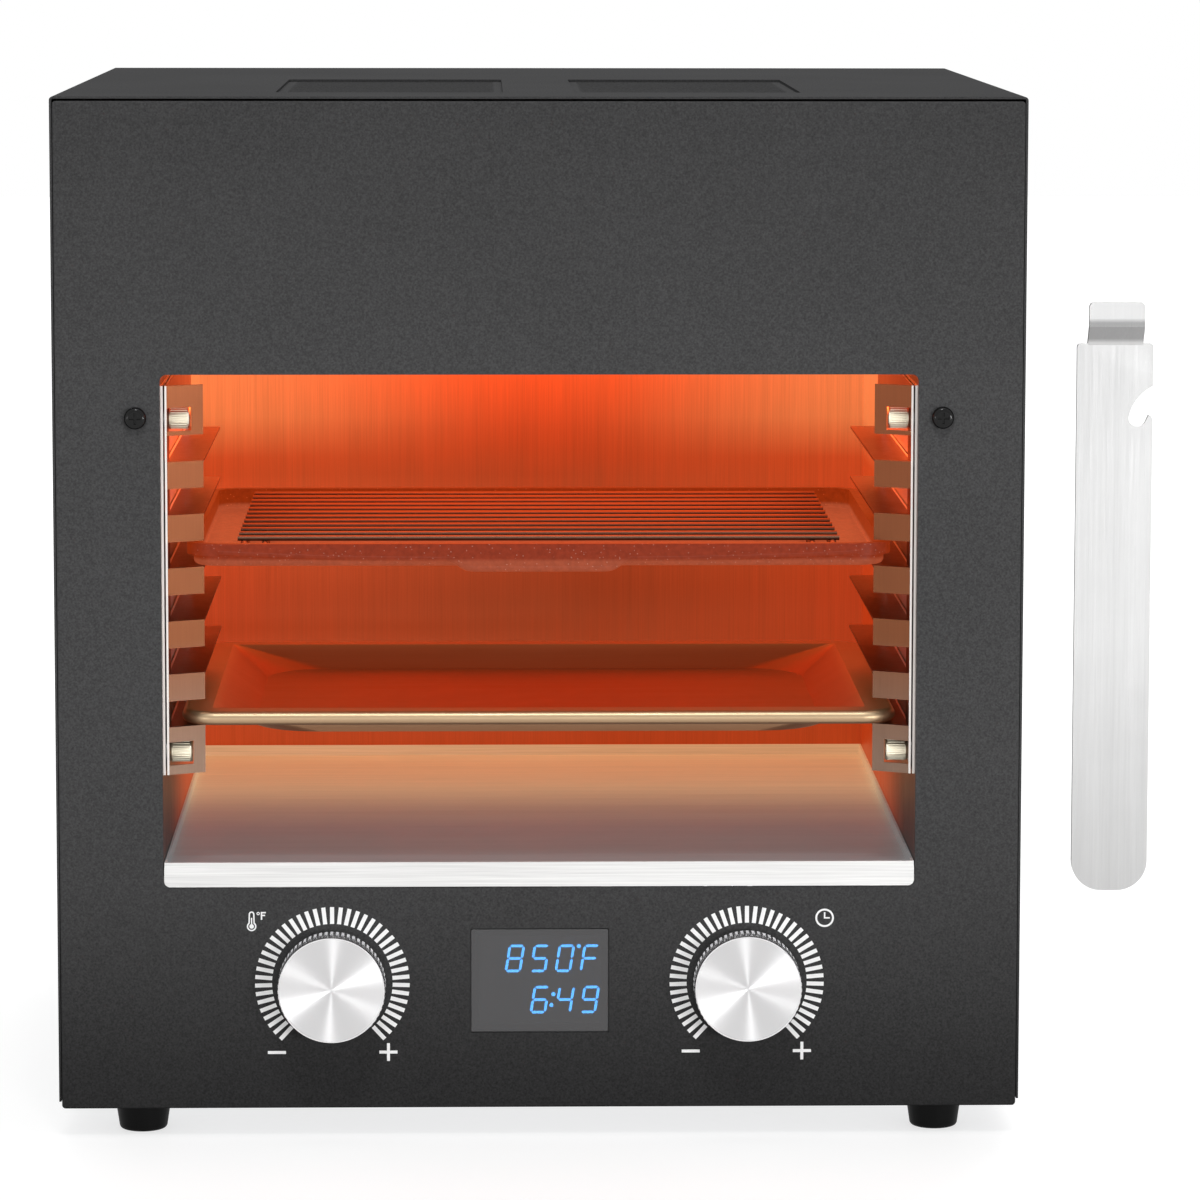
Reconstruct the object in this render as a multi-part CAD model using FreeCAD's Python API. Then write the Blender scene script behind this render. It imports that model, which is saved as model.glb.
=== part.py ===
import FreeCAD, Part
import math
import os

# Infrared steak grill. Millimetres, +Z up, the front faces -Y.
# The origin is the centre of the cabinet's flat underside, and the feet stand below it.

# Cabinet
CABINET_WIDTH = 350.0
CABINET_DEPTH = 330.0
CABINET_HEIGHT = 368.0
SHEET = 0.8
WRAP_BEND_RADIUS = 1.4
WRAP_FRONT_SETBACK = 0.4
WRAP_SIDE_LIFT = 2.6
WRAP_REAR_FLANGE = 12.0
PANEL_SIDE_GAP = 0.2
PANEL_TOP_GAP = 0.8
PANEL_FLANGE = 14.0
PANEL_EDGE_RADIUS = 0.7
PANEL_CORNER_RADIUS = 1.3
BASE_THICKNESS = 1.0
BASE_FLANGE = 12.0
BASE_VENT_X = 80.0
BASE_VENT_LENGTH = 44.0
BASE_VENT_FRONT = 53.0
BASE_VENT_COUNT = 8
BASE_VENT_PITCH = 14.0
REAR_EDGE_MARGIN = 0.4

# Vent fields in the top sheet
VENT_INNER_X = 13.0
VENT_WIDTH = 83.0
VENT_FRONT = 42.0
VENT_SLOT = 4.0
VENT_PITCH = 9.4
VENT_COUNT = 15
VENT_SINK = 1.0
VENT_MARGIN = 3.0
VENT_CORNER = 2.0
SLOT_ROUNDING = 0.49

# Front opening and cavity
OPENING_HALF_WIDTH = 136.4
OPENING_BOTTOM = 81.6
OPENING_TOP = 268.4
OPENING_RADIUS = 2.5
CAVITY_HALF_WIDTH = OPENING_HALF_WIDTH
CAVITY_DEPTH = 268.0
CAVITY_FLOOR = 85.6
LINER_BOTTOM = 76.0
LINER_TOP = 300.0
LINER_FLANGE = 16.0

# Feet
FOOT_HEIGHT = 11.0
FOOT_TOP_RADIUS = 10.25
FOOT_BOTTOM_RADIUS = 8.6
FOOT_EDGE_RADIUS = 1.5
FOOT_INSET_X = 29.5
FOOT_INSET_FRONT = 18.0
FOOT_INSET_REAR = 25.0
FOOT_RECESS_RADIUS = 4.6
FOOT_RECESS_DEPTH = 6.0

# Screws
SCREW_RADIUS = 2.0
SCREW_HEAD_RADIUS = 4.0
SCREW_HEAD_HEIGHT = 2.6
SCREW_HOLE_CLEARANCE = 0.2
CROSS_WIDTH = 0.9
CROSS_SPAN = 4.2
CROSS_DEPTH = 1.5
FRONT_SCREW_X = 145.2
FRONT_SCREW_Z = 252.8
FRONT_SCREW_LENGTH = 9.0
REAR_SCREW_LENGTH = 6.0

# Tray racks
RACK_PLATE_X = 134.2
RACK_LEAF_GAP = 0.6
RACK_FRONT = 5.0
RACK_REAR = 163.0
RACK_BOTTOM = 122.2
RACK_TOP = 263.9
LEVELS = 6
FIRST_LEDGE = 139.6
LEVEL_PITCH = 19.34
SLOT_HEIGHT = 9.5
LEDGE_WIDTH = 12.7
LEDGE_REAR = 135.0
FLANGE_LEAN = 7.0
RACK_WINDOW_FRONT = 19.0
RACK_WINDOW_HEIGHT = 10.5
RACK_BOLT_DEPTH = 14.0
RACK_BOLT_Z = (129.8, 251.6)
RACK_BOLT_RADIUS = 2.45
RACK_NUT_RADIUS = 4.0
RACK_NUT_LENGTH = 8.1
RACK_NUT_RIDGES = 24
RACK_NUT_WINDOW = 8.5
RACK_HOOK_Z = (150.0, 228.0)
RACK_HOOK_LENGTH = 6.0
RACK_HOOK_HEIGHT = 6.0
RACK_HOOK_REACH = 4.3
HOOK_SLOT_CLEARANCE = 0.5

# Trays
TRAY_GAP = 0.3
TRAY_FRONT = 7.0
TRAY_DEPTH = 185.0
UPPER_TRAY_LEVEL = 3
UPPER_TRAY_HALF_WIDTH = 128.0
UPPER_TRAY_PAN_INSET = 2.4
UPPER_TRAY_PAN_DEPTH = 8.4
UPPER_TRAY_WALL = 1.2
UPPER_TRAY_CORNER = 12.0
UPPER_TRAY_BOTTOM_RADIUS = 2.0
UPPER_TRAY_RIM_DROP = 4.4
UPPER_TRAY_FRONT_BOW = 2.2
UPPER_TRAY_ROLL_RADIUS = 1.2
PULL_LIP_WIDTH = 47.0
PULL_LIP_DROP = 3.6
PULL_LIP_SHOULDER = 10.5
LOWER_TRAY_LEVEL = 0
LOWER_TRAY_HALF_WIDTH = 130.2
LOWER_TRAY_SHEET = 0.8
LOWER_TRAY_BEAD_RADIUS = 2.5
LOWER_TRAY_BASIN_GAP = 0.8
LOWER_TRAY_BASIN_DEPTH = 9.6
LOWER_TRAY_END_SLOPE = 6.0
LOWER_TRAY_SIDE_SLOPE = 15.5
LOWER_TRAY_CORNER = 12.0
LOWER_TRAY_FOOT_CORNER = 25.0

# Wire grill
GRILL_HALF_WIDTH = 110.0
GRILL_FRONT = 12.0
GRILL_DEPTH = 174.0
GRILL_FRAME_RADIUS = 1.5
GRILL_BAR_RADIUS = 1.0
GRILL_BAR_COUNT = 12
GRILL_BAR_BITE = 0.4
GRILL_FRAME_INSET = 2.5
GRILL_RUNNER_RADIUS = 1.25
GRILL_LEG_RADIUS = 1.0
GRILL_LEG_X = 100.0
GRILL_LEG_HEIGHT = 4.6
GRILL_LEG_INSET = 32.0

# Drip tray
DRIP_SHEET = 0.8
DRIP_SIDE_GAP = 0.4
DRIP_LIP_TOP = 90.9
DRIP_LIP_GAP = 0.3
DRIP_LIP_PROUD = 0.4
DRIP_REAR_GAP = 1.5

# Heater
TUBE_COUNT = 4
TUBE_PITCH = 50.0
TUBE_FIRST_DEPTH = 40.0
TUBE_Z = 284.0
TUBE_RADIUS = 5.0
TUBE_WALL = 1.2
TUBE_HALF_LENGTH = 139.0
FILAMENT_RADIUS = 1.6
CAP_RADIUS = 8.0
CAP_INNER_X = 130.0
CAP_OUTER_X = 152.0
CAP_BORE_END = 144.0
CAP_BORE_CLEARANCE = 0.15
CAP_HOLE_CLEARANCE = 0.4
TERMINAL_LENGTH = 8.0
TERMINAL_WIDTH = 6.3
TERMINAL_THICKNESS = 0.8
BRACKET_X = 146.0
BRACKET_THICKNESS = 1.0
BRACKET_HALF_HEIGHT = 14.0
BRACKET_OVERHANG = 14.0
REFLECTOR_APRON_BOTTOM = 270.0
REFLECTOR_FLANGE = 9.0
REFLECTOR_RIDGE_WIDTH = 16.0
REFLECTOR_RIDGE_HEIGHT = 10.0
REFLECTOR_FRONT_GAP = 1.6

# Insulation
TOP_INSULATION = 18.0
BACK_INSULATION = 12.0
SIDE_INSULATION = 10.0
SIDE_INSULATION_BOTTOM = 142.0
SIDE_INSULATION_TOP = 242.0
INSULATION_MARGIN = 3.0

# Knobs and encoders
SHAFT_RADIUS = 3.0
SHAFT_CLEARANCE = 0.03
KNOB_X = 75.4
KNOB_Z = 46.3
KNOB_FLOAT = 1.3
KNOB_HEIGHT = 12.2
KNOB_RADIUS = 19.5
KNOB_TOP_RADIUS = 19.2
KNOB_TAPER_LENGTH = 1.0
KNOB_WALL = 1.8
KNOB_FLUTES = 60
KNOB_FLUTE_RADIUS = 0.55
KNOB_HUB_RADIUS = SHAFT_RADIUS + 2.5
KNOB_HUB_LENGTH = 5.5
KNOB_FACE_RADIUS = 18.8
KNOB_FACE_THICKNESS = 0.8
KNOB_FACE_DISH = 0.35
PRESS_CLEARANCE = 0.02
PUSH_TRAVEL = 0.6
PUSH_CONTACT_RADIUS = SHAFT_RADIUS - 0.3
PUSH_CONTACT_LENGTH = 1.0
PUSH_SEAT_GAP = 0.05
PUSH_END_GAP = 0.3
ENCODER_SIZE = 12.0
ENCODER_BASE = 0.8
BUSHING_RADIUS = SHAFT_RADIUS + 0.5
BUSHING_LENGTH = 4.4
BUSHING_HOLE_CLEARANCE = 0.2
ENCODER_NUT_ACROSS = 2 * BUSHING_RADIUS + 3.0
ENCODER_NUT_THICKNESS = 2.0

# Display and control board
DISPLAY_WIDTH = 49.7
DISPLAY_HEIGHT = 37.7
DISPLAY_Z = 47.1
DISPLAY_GLASS = 2.0
DISPLAY_GAP = 0.45
DISPLAY_RECESS = 0.1
DISPLAY_LEDGE = 2.6
HOLDER_BORDER = 4.5
MODULE_CLEARANCE = 0.5
MODULE_THICKNESS = 3.8
BOARD_SPACING = 6.5
BOARD_THICKNESS = 1.6
BOARD_HALF_WIDTH = 92.0
BOARD_HEIGHT = 50.0
BOARD_HOLE_INSET = 4.0
STANDOFF_RADIUS = 2.5
BOARD_CHIP = (18.0, 2.0, 12.0)
BOARD_CONNECTOR = (22.0, 8.0, 7.0)

# Power electronics
POWER_BOARD_SIZE = (110.0, 90.0)
POWER_BOARD_CENTRE = (-75.0, 75.0)
POWER_BOARD_LIFT = 8.0
RELAY_SIZE = (28.0, 13.0, 25.0)
RELAY_OFFSET = (-32.0, -25.0)
TRANSFORMER_SIZE = (42.0, 36.0, 32.0)
TRANSFORMER_OFFSET = (22.0, 10.0)
HEAT_SINK_SIZE = (34.0, 12.0, 28.0)
HEAT_SINK_OFFSET = (-30.0, 22.0)
HEAT_SINK_FINS = 6
TERMINAL_BLOCK_SIZE = (36.0, 18.0, 16.0)
TERMINAL_BLOCK_CENTRE = (-100.0, 144.0)
TERMINAL_BLOCK_WELLS = 4

# Cooling fan
FAN_SIZE = 60.0
FAN_DEPTH = 15.0
FAN_X = 85.0
FAN_Z = 42.0
FAN_DUCT_RADIUS = 28.5
FAN_BLADE_RADIUS = 27.5
FAN_HUB_RADIUS = 11.0
FAN_BLADES = 7
FAN_BLADE_THICKNESS = 1.0
FAN_BLADE_TILT = 38.0
FAN_MOTOR_DEPTH = 3.2
FAN_STRUT_WIDTH = 3.0
FAN_SHAFT_RADIUS = 1.5
FAN_SHAFT_CLEARANCE = 0.05
FAN_SHAFT_LENGTH = 2.6
FAN_ROTOR_GAP = 0.5
FAN_HOLE_SPACING = 50.0
FAN_SLOT_COUNT = 16
FAN_SLOT_WIDTH = 3.0

# Rear panel
GLAND_X = -130.0
GLAND_Z = 32.0
GLAND_BORE_RADIUS = 4.0
GLAND_NECK_RADIUS = 7.5
GLAND_FLANGE_RADIUS = 10.5
GLAND_FLANGE = 3.0
GLAND_NECK_LENGTH = 12.0
GLAND_CLEARANCE = 0.1
REAR_VENT_ROWS = (292.0, 322.0)
REAR_VENT_SLOTS = 15
REAR_VENT_PITCH = 12.0
REAR_VENT_WIDTH = 4.0
REAR_VENT_HEIGHT = 22.0

# Sensors and inner wiring
PROBE_X = 60.0
PROBE_Z = 278.0
PROBE_RADIUS = 2.0
PROBE_REACH = 24.0
PROBE_TAIL = 20.0
PROBE_COLLAR_RADIUS = 5.0
PROBE_COLLAR = 4.0
CUTOUT_X = -60.0
CUTOUT_Z = 246.0
CUTOUT_RADIUS = 8.0
CUTOUT_HEIGHT = 9.0
CUTOUT_TAB_X = 3.5
CUTOUT_TAB_LENGTH = 7.0
LEAD_RADIUS = 1.6
LEAD_BEND_SHARE = 0.4

# Cavity supports
SUPPORT_THICKNESS = 1.0
SUPPORT_HALF_LENGTH = 60.0
SUPPORT_TOP = 112.0
SUPPORT_FOOT = 12.0

# Tray handle
HANDLE_X = 207.2
HANDLE_BOTTOM = 79.8
HANDLE_SETBACK = 2.0
HANDLE_WIDTH = 27.5
HANDLE_BLADE = 199.8
HANDLE_THICKNESS = 2.0
HANDLE_END_RADIUS = 11.0
HANDLE_SHOULDER_RADIUS = 1.5
TONGUE_WIDTH = 20.0
TONGUE_ROOT = 6.0
TONGUE_SLOPE_RUN = 6.9
TONGUE_RISE = 5.0
TONGUE_LIP = 8.4
TONGUE_CORNER = 2.0
NOTCH_START = 184.4
NOTCH_CENTRE = (22.06, 172.96)
NOTCH_RADIUS = 3.26
NOTCH_SWEEP = (21.7, 179.6)
NOTCH_TIP = (26.0, 173.9)
NOTCH_TIP_END = 171.2

# Places that follow from the driving sizes
FRONT = -CABINET_DEPTH / 2
REAR = CABINET_DEPTH / 2
PANEL_BACK = FRONT + SHEET
REAR_PANEL_FRONT = REAR - SHEET
WRAP_INNER_X = CABINET_WIDTH / 2 - SHEET
PANEL_HALF_WIDTH = WRAP_INNER_X - PANEL_SIDE_GAP
PANEL_TOP = CABINET_HEIGHT - SHEET - PANEL_TOP_GAP
LINER_OUTER_X = CAVITY_HALF_WIDTH + SHEET
LINER_FRONT = PANEL_BACK + SHEET
CAVITY_BACK = FRONT + CAVITY_DEPTH
LINER_BACK = CAVITY_BACK + SHEET
COUNTER = -FOOT_HEIGHT
HANDLE_BACK = FRONT + HANDLE_SETBACK
BOARD_FRONT = PANEL_BACK + BOARD_SPACING
BOARD_BACK = BOARD_FRONT + BOARD_THICKNESS
BOARD_BOTTOM = DISPLAY_Z - BOARD_HEIGHT / 2
KNOB_BACK = FRONT - KNOB_FLOAT
KNOB_FRONT = KNOB_BACK - KNOB_HEIGHT
CONTACT_BACK = BOARD_FRONT - ENCODER_BASE - PUSH_TRAVEL - PUSH_END_GAP
CONTACT_FRONT = CONTACT_BACK - PUSH_CONTACT_LENGTH
SHAFT_BACK = CONTACT_FRONT - PUSH_SEAT_GAP
TUBE_DEPTHS = [FRONT + TUBE_FIRST_DEPTH + TUBE_PITCH * i for i in range(TUBE_COUNT)]
FOOT_PLACES = [
    (side * (CABINET_WIDTH / 2 - FOOT_INSET_X), y)
    for side in (-1, 1)
    for y in (FRONT + FOOT_INSET_FRONT, REAR - FOOT_INSET_REAR)
]
FAN_HOLES = [
    (FAN_X + i * FAN_HOLE_SPACING / 2, FAN_Z + k * FAN_HOLE_SPACING / 2)
    for i in (-1, 1)
    for k in (-1, 1)
]
REAR_FLANGE_X = WRAP_INNER_X - WRAP_REAR_FLANGE / 2
REAR_FLANGE_Z = CABINET_HEIGHT - SHEET - WRAP_REAR_FLANGE / 2
REAR_SCREW_PLACES = [
    (side * REAR_FLANGE_X, share * CABINET_HEIGHT)
    for side in (-1, 1)
    for share in (0.09, 0.5, 0.91)
] + [(side * CABINET_WIDTH / 4, z) for side in (-1, 1) for z in (BASE_FLANGE / 2, REAR_FLANGE_Z)]
BOARD_HOLES = [
    (side * (BOARD_HALF_WIDTH - BOARD_HOLE_INSET), z)
    for side in (-1, 1)
    for z in (BOARD_BOTTOM + BOARD_HOLE_INSET, BOARD_BOTTOM + BOARD_HEIGHT - BOARD_HOLE_INSET)
]


def vec(x, y, z):
    return FreeCAD.Vector(x, y, z)


def box(x0, x1, y0, y1, z0, z1):
    low = vec(min(x0, x1), min(y0, y1), min(z0, z1))
    return Part.makeBox(abs(x1 - x0), abs(y1 - y0), abs(z1 - z0), low)


def cylinder_x(y, z, radius, x0, x1):
    return Part.makeCylinder(radius, abs(x1 - x0), vec(min(x0, x1), y, z), vec(1, 0, 0))


def cylinder_y(x, z, radius, y0, y1):
    return Part.makeCylinder(radius, abs(y1 - y0), vec(x, min(y0, y1), z), vec(0, 1, 0))


def cylinder_z(x, y, radius, z0, z1):
    return Part.makeCylinder(radius, abs(z1 - z0), vec(x, y, min(z0, z1)), vec(0, 0, 1))


def rounded_wire(u0, u1, v0, v1, radius, place):
    """A rectangle with rounded corners; place turns its flat coordinates into a point."""
    bow = radius * (1 - math.sqrt(0.5))
    corners = [
        ((u1 - radius, v0), (u1 - bow, v0 + bow), (u1, v0 + radius)),
        ((u1, v1 - radius), (u1 - bow, v1 - bow), (u1 - radius, v1)),
        ((u0 + radius, v1), (u0 + bow, v1 - bow), (u0, v1 - radius)),
        ((u0, v0 + radius), (u0 + bow, v0 + bow), (u0 + radius, v0)),
    ]
    edges = []
    for index, corner in enumerate(corners):
        start, middle, end = (place(*point) for point in corner)
        before = place(*corners[index - 1][2])
        if before.distanceToPoint(start) > 1e-6:
            edges.append(Part.LineSegment(before, start).toShape())
        edges.append(Part.Arc(start, middle, end).toShape())
    return Part.Wire(edges)


def rounded_column(x0, x1, y0, y1, z0, z1, radius):
    """A block whose upright edges are rounded."""
    wire = rounded_wire(x0, x1, y0, y1, radius, lambda u, v: vec(u, v, z0))
    return Part.Face(wire).extrude(vec(0, 0, z1 - z0))


def rounded_slab(x0, x1, y0, y1, z0, z1, radius):
    """A block whose edges along Y are rounded."""
    wire = rounded_wire(x0, x1, z0, z1, radius, lambda u, v: vec(u, y0, v))
    return Part.Face(wire).extrude(vec(0, y1 - y0, 0))


def prism(points, direction):
    """A straight-sided outline pushed along a direction."""
    return Part.Face(Part.makePolygon([*points, points[0]])).extrude(direction)


def joined(shapes):
    whole = shapes[0].multiFuse(shapes[1:]).removeSplitter()
    return whole.Solids[0] if len(whole.Solids) == 1 else whole


def cut(shape, tools):
    result = shape.cut(tools)
    return result.Solids[0] if len(result.Solids) == 1 else result


def group(shapes):
    return Part.makeCompound(shapes)


def mirrored(shape):
    return shape.mirror(vec(0, 0, 0), vec(1, 0, 0))


def hexagon_y(x, z, across, y0, y1):
    radius = across / math.sqrt(3)
    points = [
        vec(x + radius * math.cos(math.radians(60 * i)), y0, z + radius * math.sin(math.radians(60 * i)))
        for i in range(6)
    ]
    return prism(points, vec(0, y1 - y0, 0))


def pan_screw(length, radius=SCREW_RADIUS, head_radius=SCREW_HEAD_RADIUS):
    """A pan-head cross screw on +Z: its head stands on z = 0 and its shank points down."""
    head = Part.makeCylinder(head_radius, SCREW_HEAD_HEIGHT)
    top_edges = [e for e in head.Edges if e.BoundBox.ZMin > SCREW_HEAD_HEIGHT - 1e-6]
    head = head.makeFillet(SCREW_HEAD_HEIGHT * 0.6, top_edges)
    whole = joined([head, Part.makeCylinder(radius, length, vec(0, 0, -length))])
    floor = SCREW_HEAD_HEIGHT - CROSS_DEPTH
    half, thin = CROSS_SPAN / 2, CROSS_WIDTH / 2
    cross = [
        box(-half, half, -thin, thin, floor, SCREW_HEAD_HEIGHT + 1),
        box(-thin, thin, -half, half, floor, SCREW_HEAD_HEIGHT + 1),
    ]
    return cut(whole, cross)


def turned(shape, axis, degrees):
    copy = shape.copy()
    copy.rotate(vec(0, 0, 0), axis, degrees)
    return copy


def moved(shape, x, y, z):
    copy = shape.copy()
    copy.translate(vec(x, y, z))
    return copy


def swept_ring(path, radius):
    """A round rod that follows a path."""
    start = path.Edges[0].firstVertex().Point
    tangent = path.Edges[0].tangentAt(path.Edges[0].FirstParameter)
    ring = Part.Wire(Part.Circle(start, tangent, radius).toShape())
    return path.makePipeShell([ring], True, False)


def smooth_edge(*points):
    """One smooth curve drawn toward its inner points."""
    curve = Part.BezierCurve()
    curve.setPoles(list(points))
    return curve.toShape()


def screw_facing_front(x, y, z, length):
    return moved(turned(pan_screw(length), vec(1, 0, 0), 90), x, y, z)


def screw_facing_rear(x, y, z, length):
    return moved(turned(pan_screw(length), vec(1, 0, 0), -90), x, y, z)


def ledge_z(level):
    return FIRST_LEDGE + LEVEL_PITCH * level


# Cabinet shells


def wrap_section(half_width, top, bottom, radius, y):
    """The closed outline under one face of the folded top and sides, rounded at both top corners."""
    bow = radius * (1 - math.sqrt(0.5))
    left = Part.Arc(
        vec(-half_width, y, top - radius),
        vec(-half_width + bow, y, top - bow),
        vec(-half_width + radius, y, top),
    )
    right = Part.Arc(
        vec(half_width - radius, y, top),
        vec(half_width - bow, y, top - bow),
        vec(half_width, y, top - radius),
    )
    low_left = vec(-half_width, y, bottom)
    low_right = vec(half_width, y, bottom)
    edges = [
        Part.LineSegment(low_left, left.StartPoint).toShape(),
        left.toShape(),
        Part.LineSegment(left.EndPoint, right.StartPoint).toShape(),
        right.toShape(),
        Part.LineSegment(right.EndPoint, low_right).toShape(),
        Part.LineSegment(low_right, low_left).toShape(),
    ]
    return Part.Face(Part.Wire(edges))


def vent_field(side):
    """Where one vent field lies: x0, x1, y0, y1."""
    inner = side * VENT_INNER_X
    outer = side * (VENT_INNER_X + VENT_WIDTH)
    front = FRONT + VENT_FRONT
    length = VENT_PITCH * (VENT_COUNT - 1) + VENT_SLOT + 2 * VENT_MARGIN
    return min(inner, outer), max(inner, outer), front, front + length


def outer_wrap():
    front = FRONT + WRAP_FRONT_SETBACK
    length = REAR_PANEL_FRONT - front
    outside = wrap_section(CABINET_WIDTH / 2, CABINET_HEIGHT, WRAP_SIDE_LIFT, WRAP_BEND_RADIUS, front)
    inside = wrap_section(
        WRAP_INNER_X, CABINET_HEIGHT - SHEET, WRAP_SIDE_LIFT, WRAP_BEND_RADIUS - SHEET, front
    )
    shell = outside.cut(inside).extrude(vec(0, length, 0))
    flange_y = REAR_PANEL_FRONT - SHEET
    full = inside.extrude(vec(0, SHEET, 0))
    full.translate(vec(0, flange_y - front, 0))
    window = box(
        -WRAP_INNER_X + WRAP_REAR_FLANGE,
        WRAP_INNER_X - WRAP_REAR_FLANGE,
        flange_y - 1,
        REAR,
        0,
        CABINET_HEIGHT - SHEET - WRAP_REAR_FLANGE,
    )
    shell = joined([shell, full.cut(window)])
    top = CABINET_HEIGHT
    holes, fields, slots = [], [], []
    for side in (-1, 1):
        x0, x1, y0, y1 = vent_field(side)
        holes.append(rounded_column(x0, x1, y0, y1, top - SHEET - 1, top + 1, VENT_CORNER))
        tub = rounded_column(x0 - SHEET, x1 + SHEET, y0 - SHEET, y1 + SHEET, top - VENT_SINK - SHEET,
                             top, VENT_CORNER + SHEET)
        well = rounded_column(x0, x1, y0, y1, top - VENT_SINK, top + 1, VENT_CORNER)
        fields.append(tub.cut(well))
        for index in range(VENT_COUNT):
            y = y0 + VENT_MARGIN + VENT_PITCH * index
            slots.append(rounded_column(x0 + VENT_MARGIN, x1 - VENT_MARGIN, y, y + VENT_SLOT, top - 4,
                                        top + 1, VENT_SLOT * SLOT_ROUNDING))
    shell = joined([shell.cut(holes), *fields])
    screw_holes = [
        cylinder_y(x, z, SCREW_RADIUS + SCREW_HOLE_CLEARANCE, flange_y - 1, REAR)
        for x, z in REAR_SCREW_PLACES
        if z > BASE_FLANGE
    ]
    return cut(shell, slots + screw_holes)


def front_panel():
    face = rounded_slab(
        -PANEL_HALF_WIDTH, PANEL_HALF_WIDTH, FRONT, PANEL_BACK, 0, PANEL_TOP, PANEL_CORNER_RADIUS
    )
    flange_back = FRONT + PANEL_FLANGE
    flange_bottom = BASE_FLANGE + 2
    flanges = [
        box(side * PANEL_HALF_WIDTH, side * (PANEL_HALF_WIDTH - SHEET), FRONT + SHEET / 2, flange_back,
            flange_bottom, PANEL_TOP - PANEL_CORNER_RADIUS)
        for side in (-1, 1)
    ]
    flanges.append(
        box(-PANEL_HALF_WIDTH + PANEL_CORNER_RADIUS, PANEL_HALF_WIDTH - PANEL_CORNER_RADIUS,
            FRONT + SHEET / 2, flange_back, PANEL_TOP - SHEET, PANEL_TOP)
    )
    panel = joined([face, *flanges])
    outer_edges = [
        e for e in panel.Edges
        if abs(e.BoundBox.YMax - FRONT) < 1e-6 and e.BoundBox.ZMax > PANEL_CORNER_RADIUS + 1
    ]
    panel = panel.makeFillet(PANEL_EDGE_RADIUS, outer_edges)
    half_w = DISPLAY_WIDTH / 2 + DISPLAY_GAP
    half_h = DISPLAY_HEIGHT / 2 + DISPLAY_GAP
    tools = [
        rounded_slab(-OPENING_HALF_WIDTH, OPENING_HALF_WIDTH, FRONT - 1, PANEL_BACK + 1,
                     OPENING_BOTTOM, OPENING_TOP, OPENING_RADIUS),
        box(-half_w, half_w, FRONT - 1, PANEL_BACK + 1, DISPLAY_Z - half_h, DISPLAY_Z + half_h),
    ]
    for side in (-1, 1):
        tools.append(cylinder_y(side * KNOB_X, KNOB_Z, BUSHING_RADIUS + BUSHING_HOLE_CLEARANCE,
                                FRONT - 1, PANEL_BACK + 1))
        tools.append(cylinder_y(side * FRONT_SCREW_X, FRONT_SCREW_Z, SCREW_RADIUS + SCREW_HOLE_CLEARANCE,
                                FRONT - 1, PANEL_BACK + 1))
    return cut(panel, tools)


def rear_panel():
    half = CABINET_WIDTH / 2 - REAR_EDGE_MARGIN
    sheet = rounded_slab(-half, half, REAR_PANEL_FRONT, REAR, REAR_EDGE_MARGIN,
                         CABINET_HEIGHT - REAR_EDGE_MARGIN, PANEL_CORNER_RADIUS)
    near, far = REAR_PANEL_FRONT - 1, REAR + 1
    tools = [cylinder_y(GLAND_X, GLAND_Z, GLAND_NECK_RADIUS + GLAND_CLEARANCE, near, far)]
    for x, z in REAR_SCREW_PLACES + FAN_HOLES:
        tools.append(cylinder_y(x, z, SCREW_RADIUS + SCREW_HOLE_CLEARANCE, near, far))
    for row in REAR_VENT_ROWS:
        for index in range(REAR_VENT_SLOTS):
            x = REAR_VENT_PITCH * (index - (REAR_VENT_SLOTS - 1) / 2)
            tools.append(rounded_slab(x - REAR_VENT_WIDTH / 2, x + REAR_VENT_WIDTH / 2, near, far,
                                      row, row + REAR_VENT_HEIGHT, REAR_VENT_WIDTH * SLOT_ROUNDING))
    inner, outer = FAN_HUB_RADIUS, FAN_DUCT_RADIUS - 1.5
    for index in range(FAN_SLOT_COUNT):
        slot = rounded_slab(-FAN_SLOT_WIDTH / 2, FAN_SLOT_WIDTH / 2, near, far, inner, outer,
                            FAN_SLOT_WIDTH * SLOT_ROUNDING)
        tools.append(moved(turned(slot, vec(0, 1, 0), 360 * index / FAN_SLOT_COUNT), FAN_X, 0, FAN_Z))
    return cut(sheet, tools)


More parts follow.
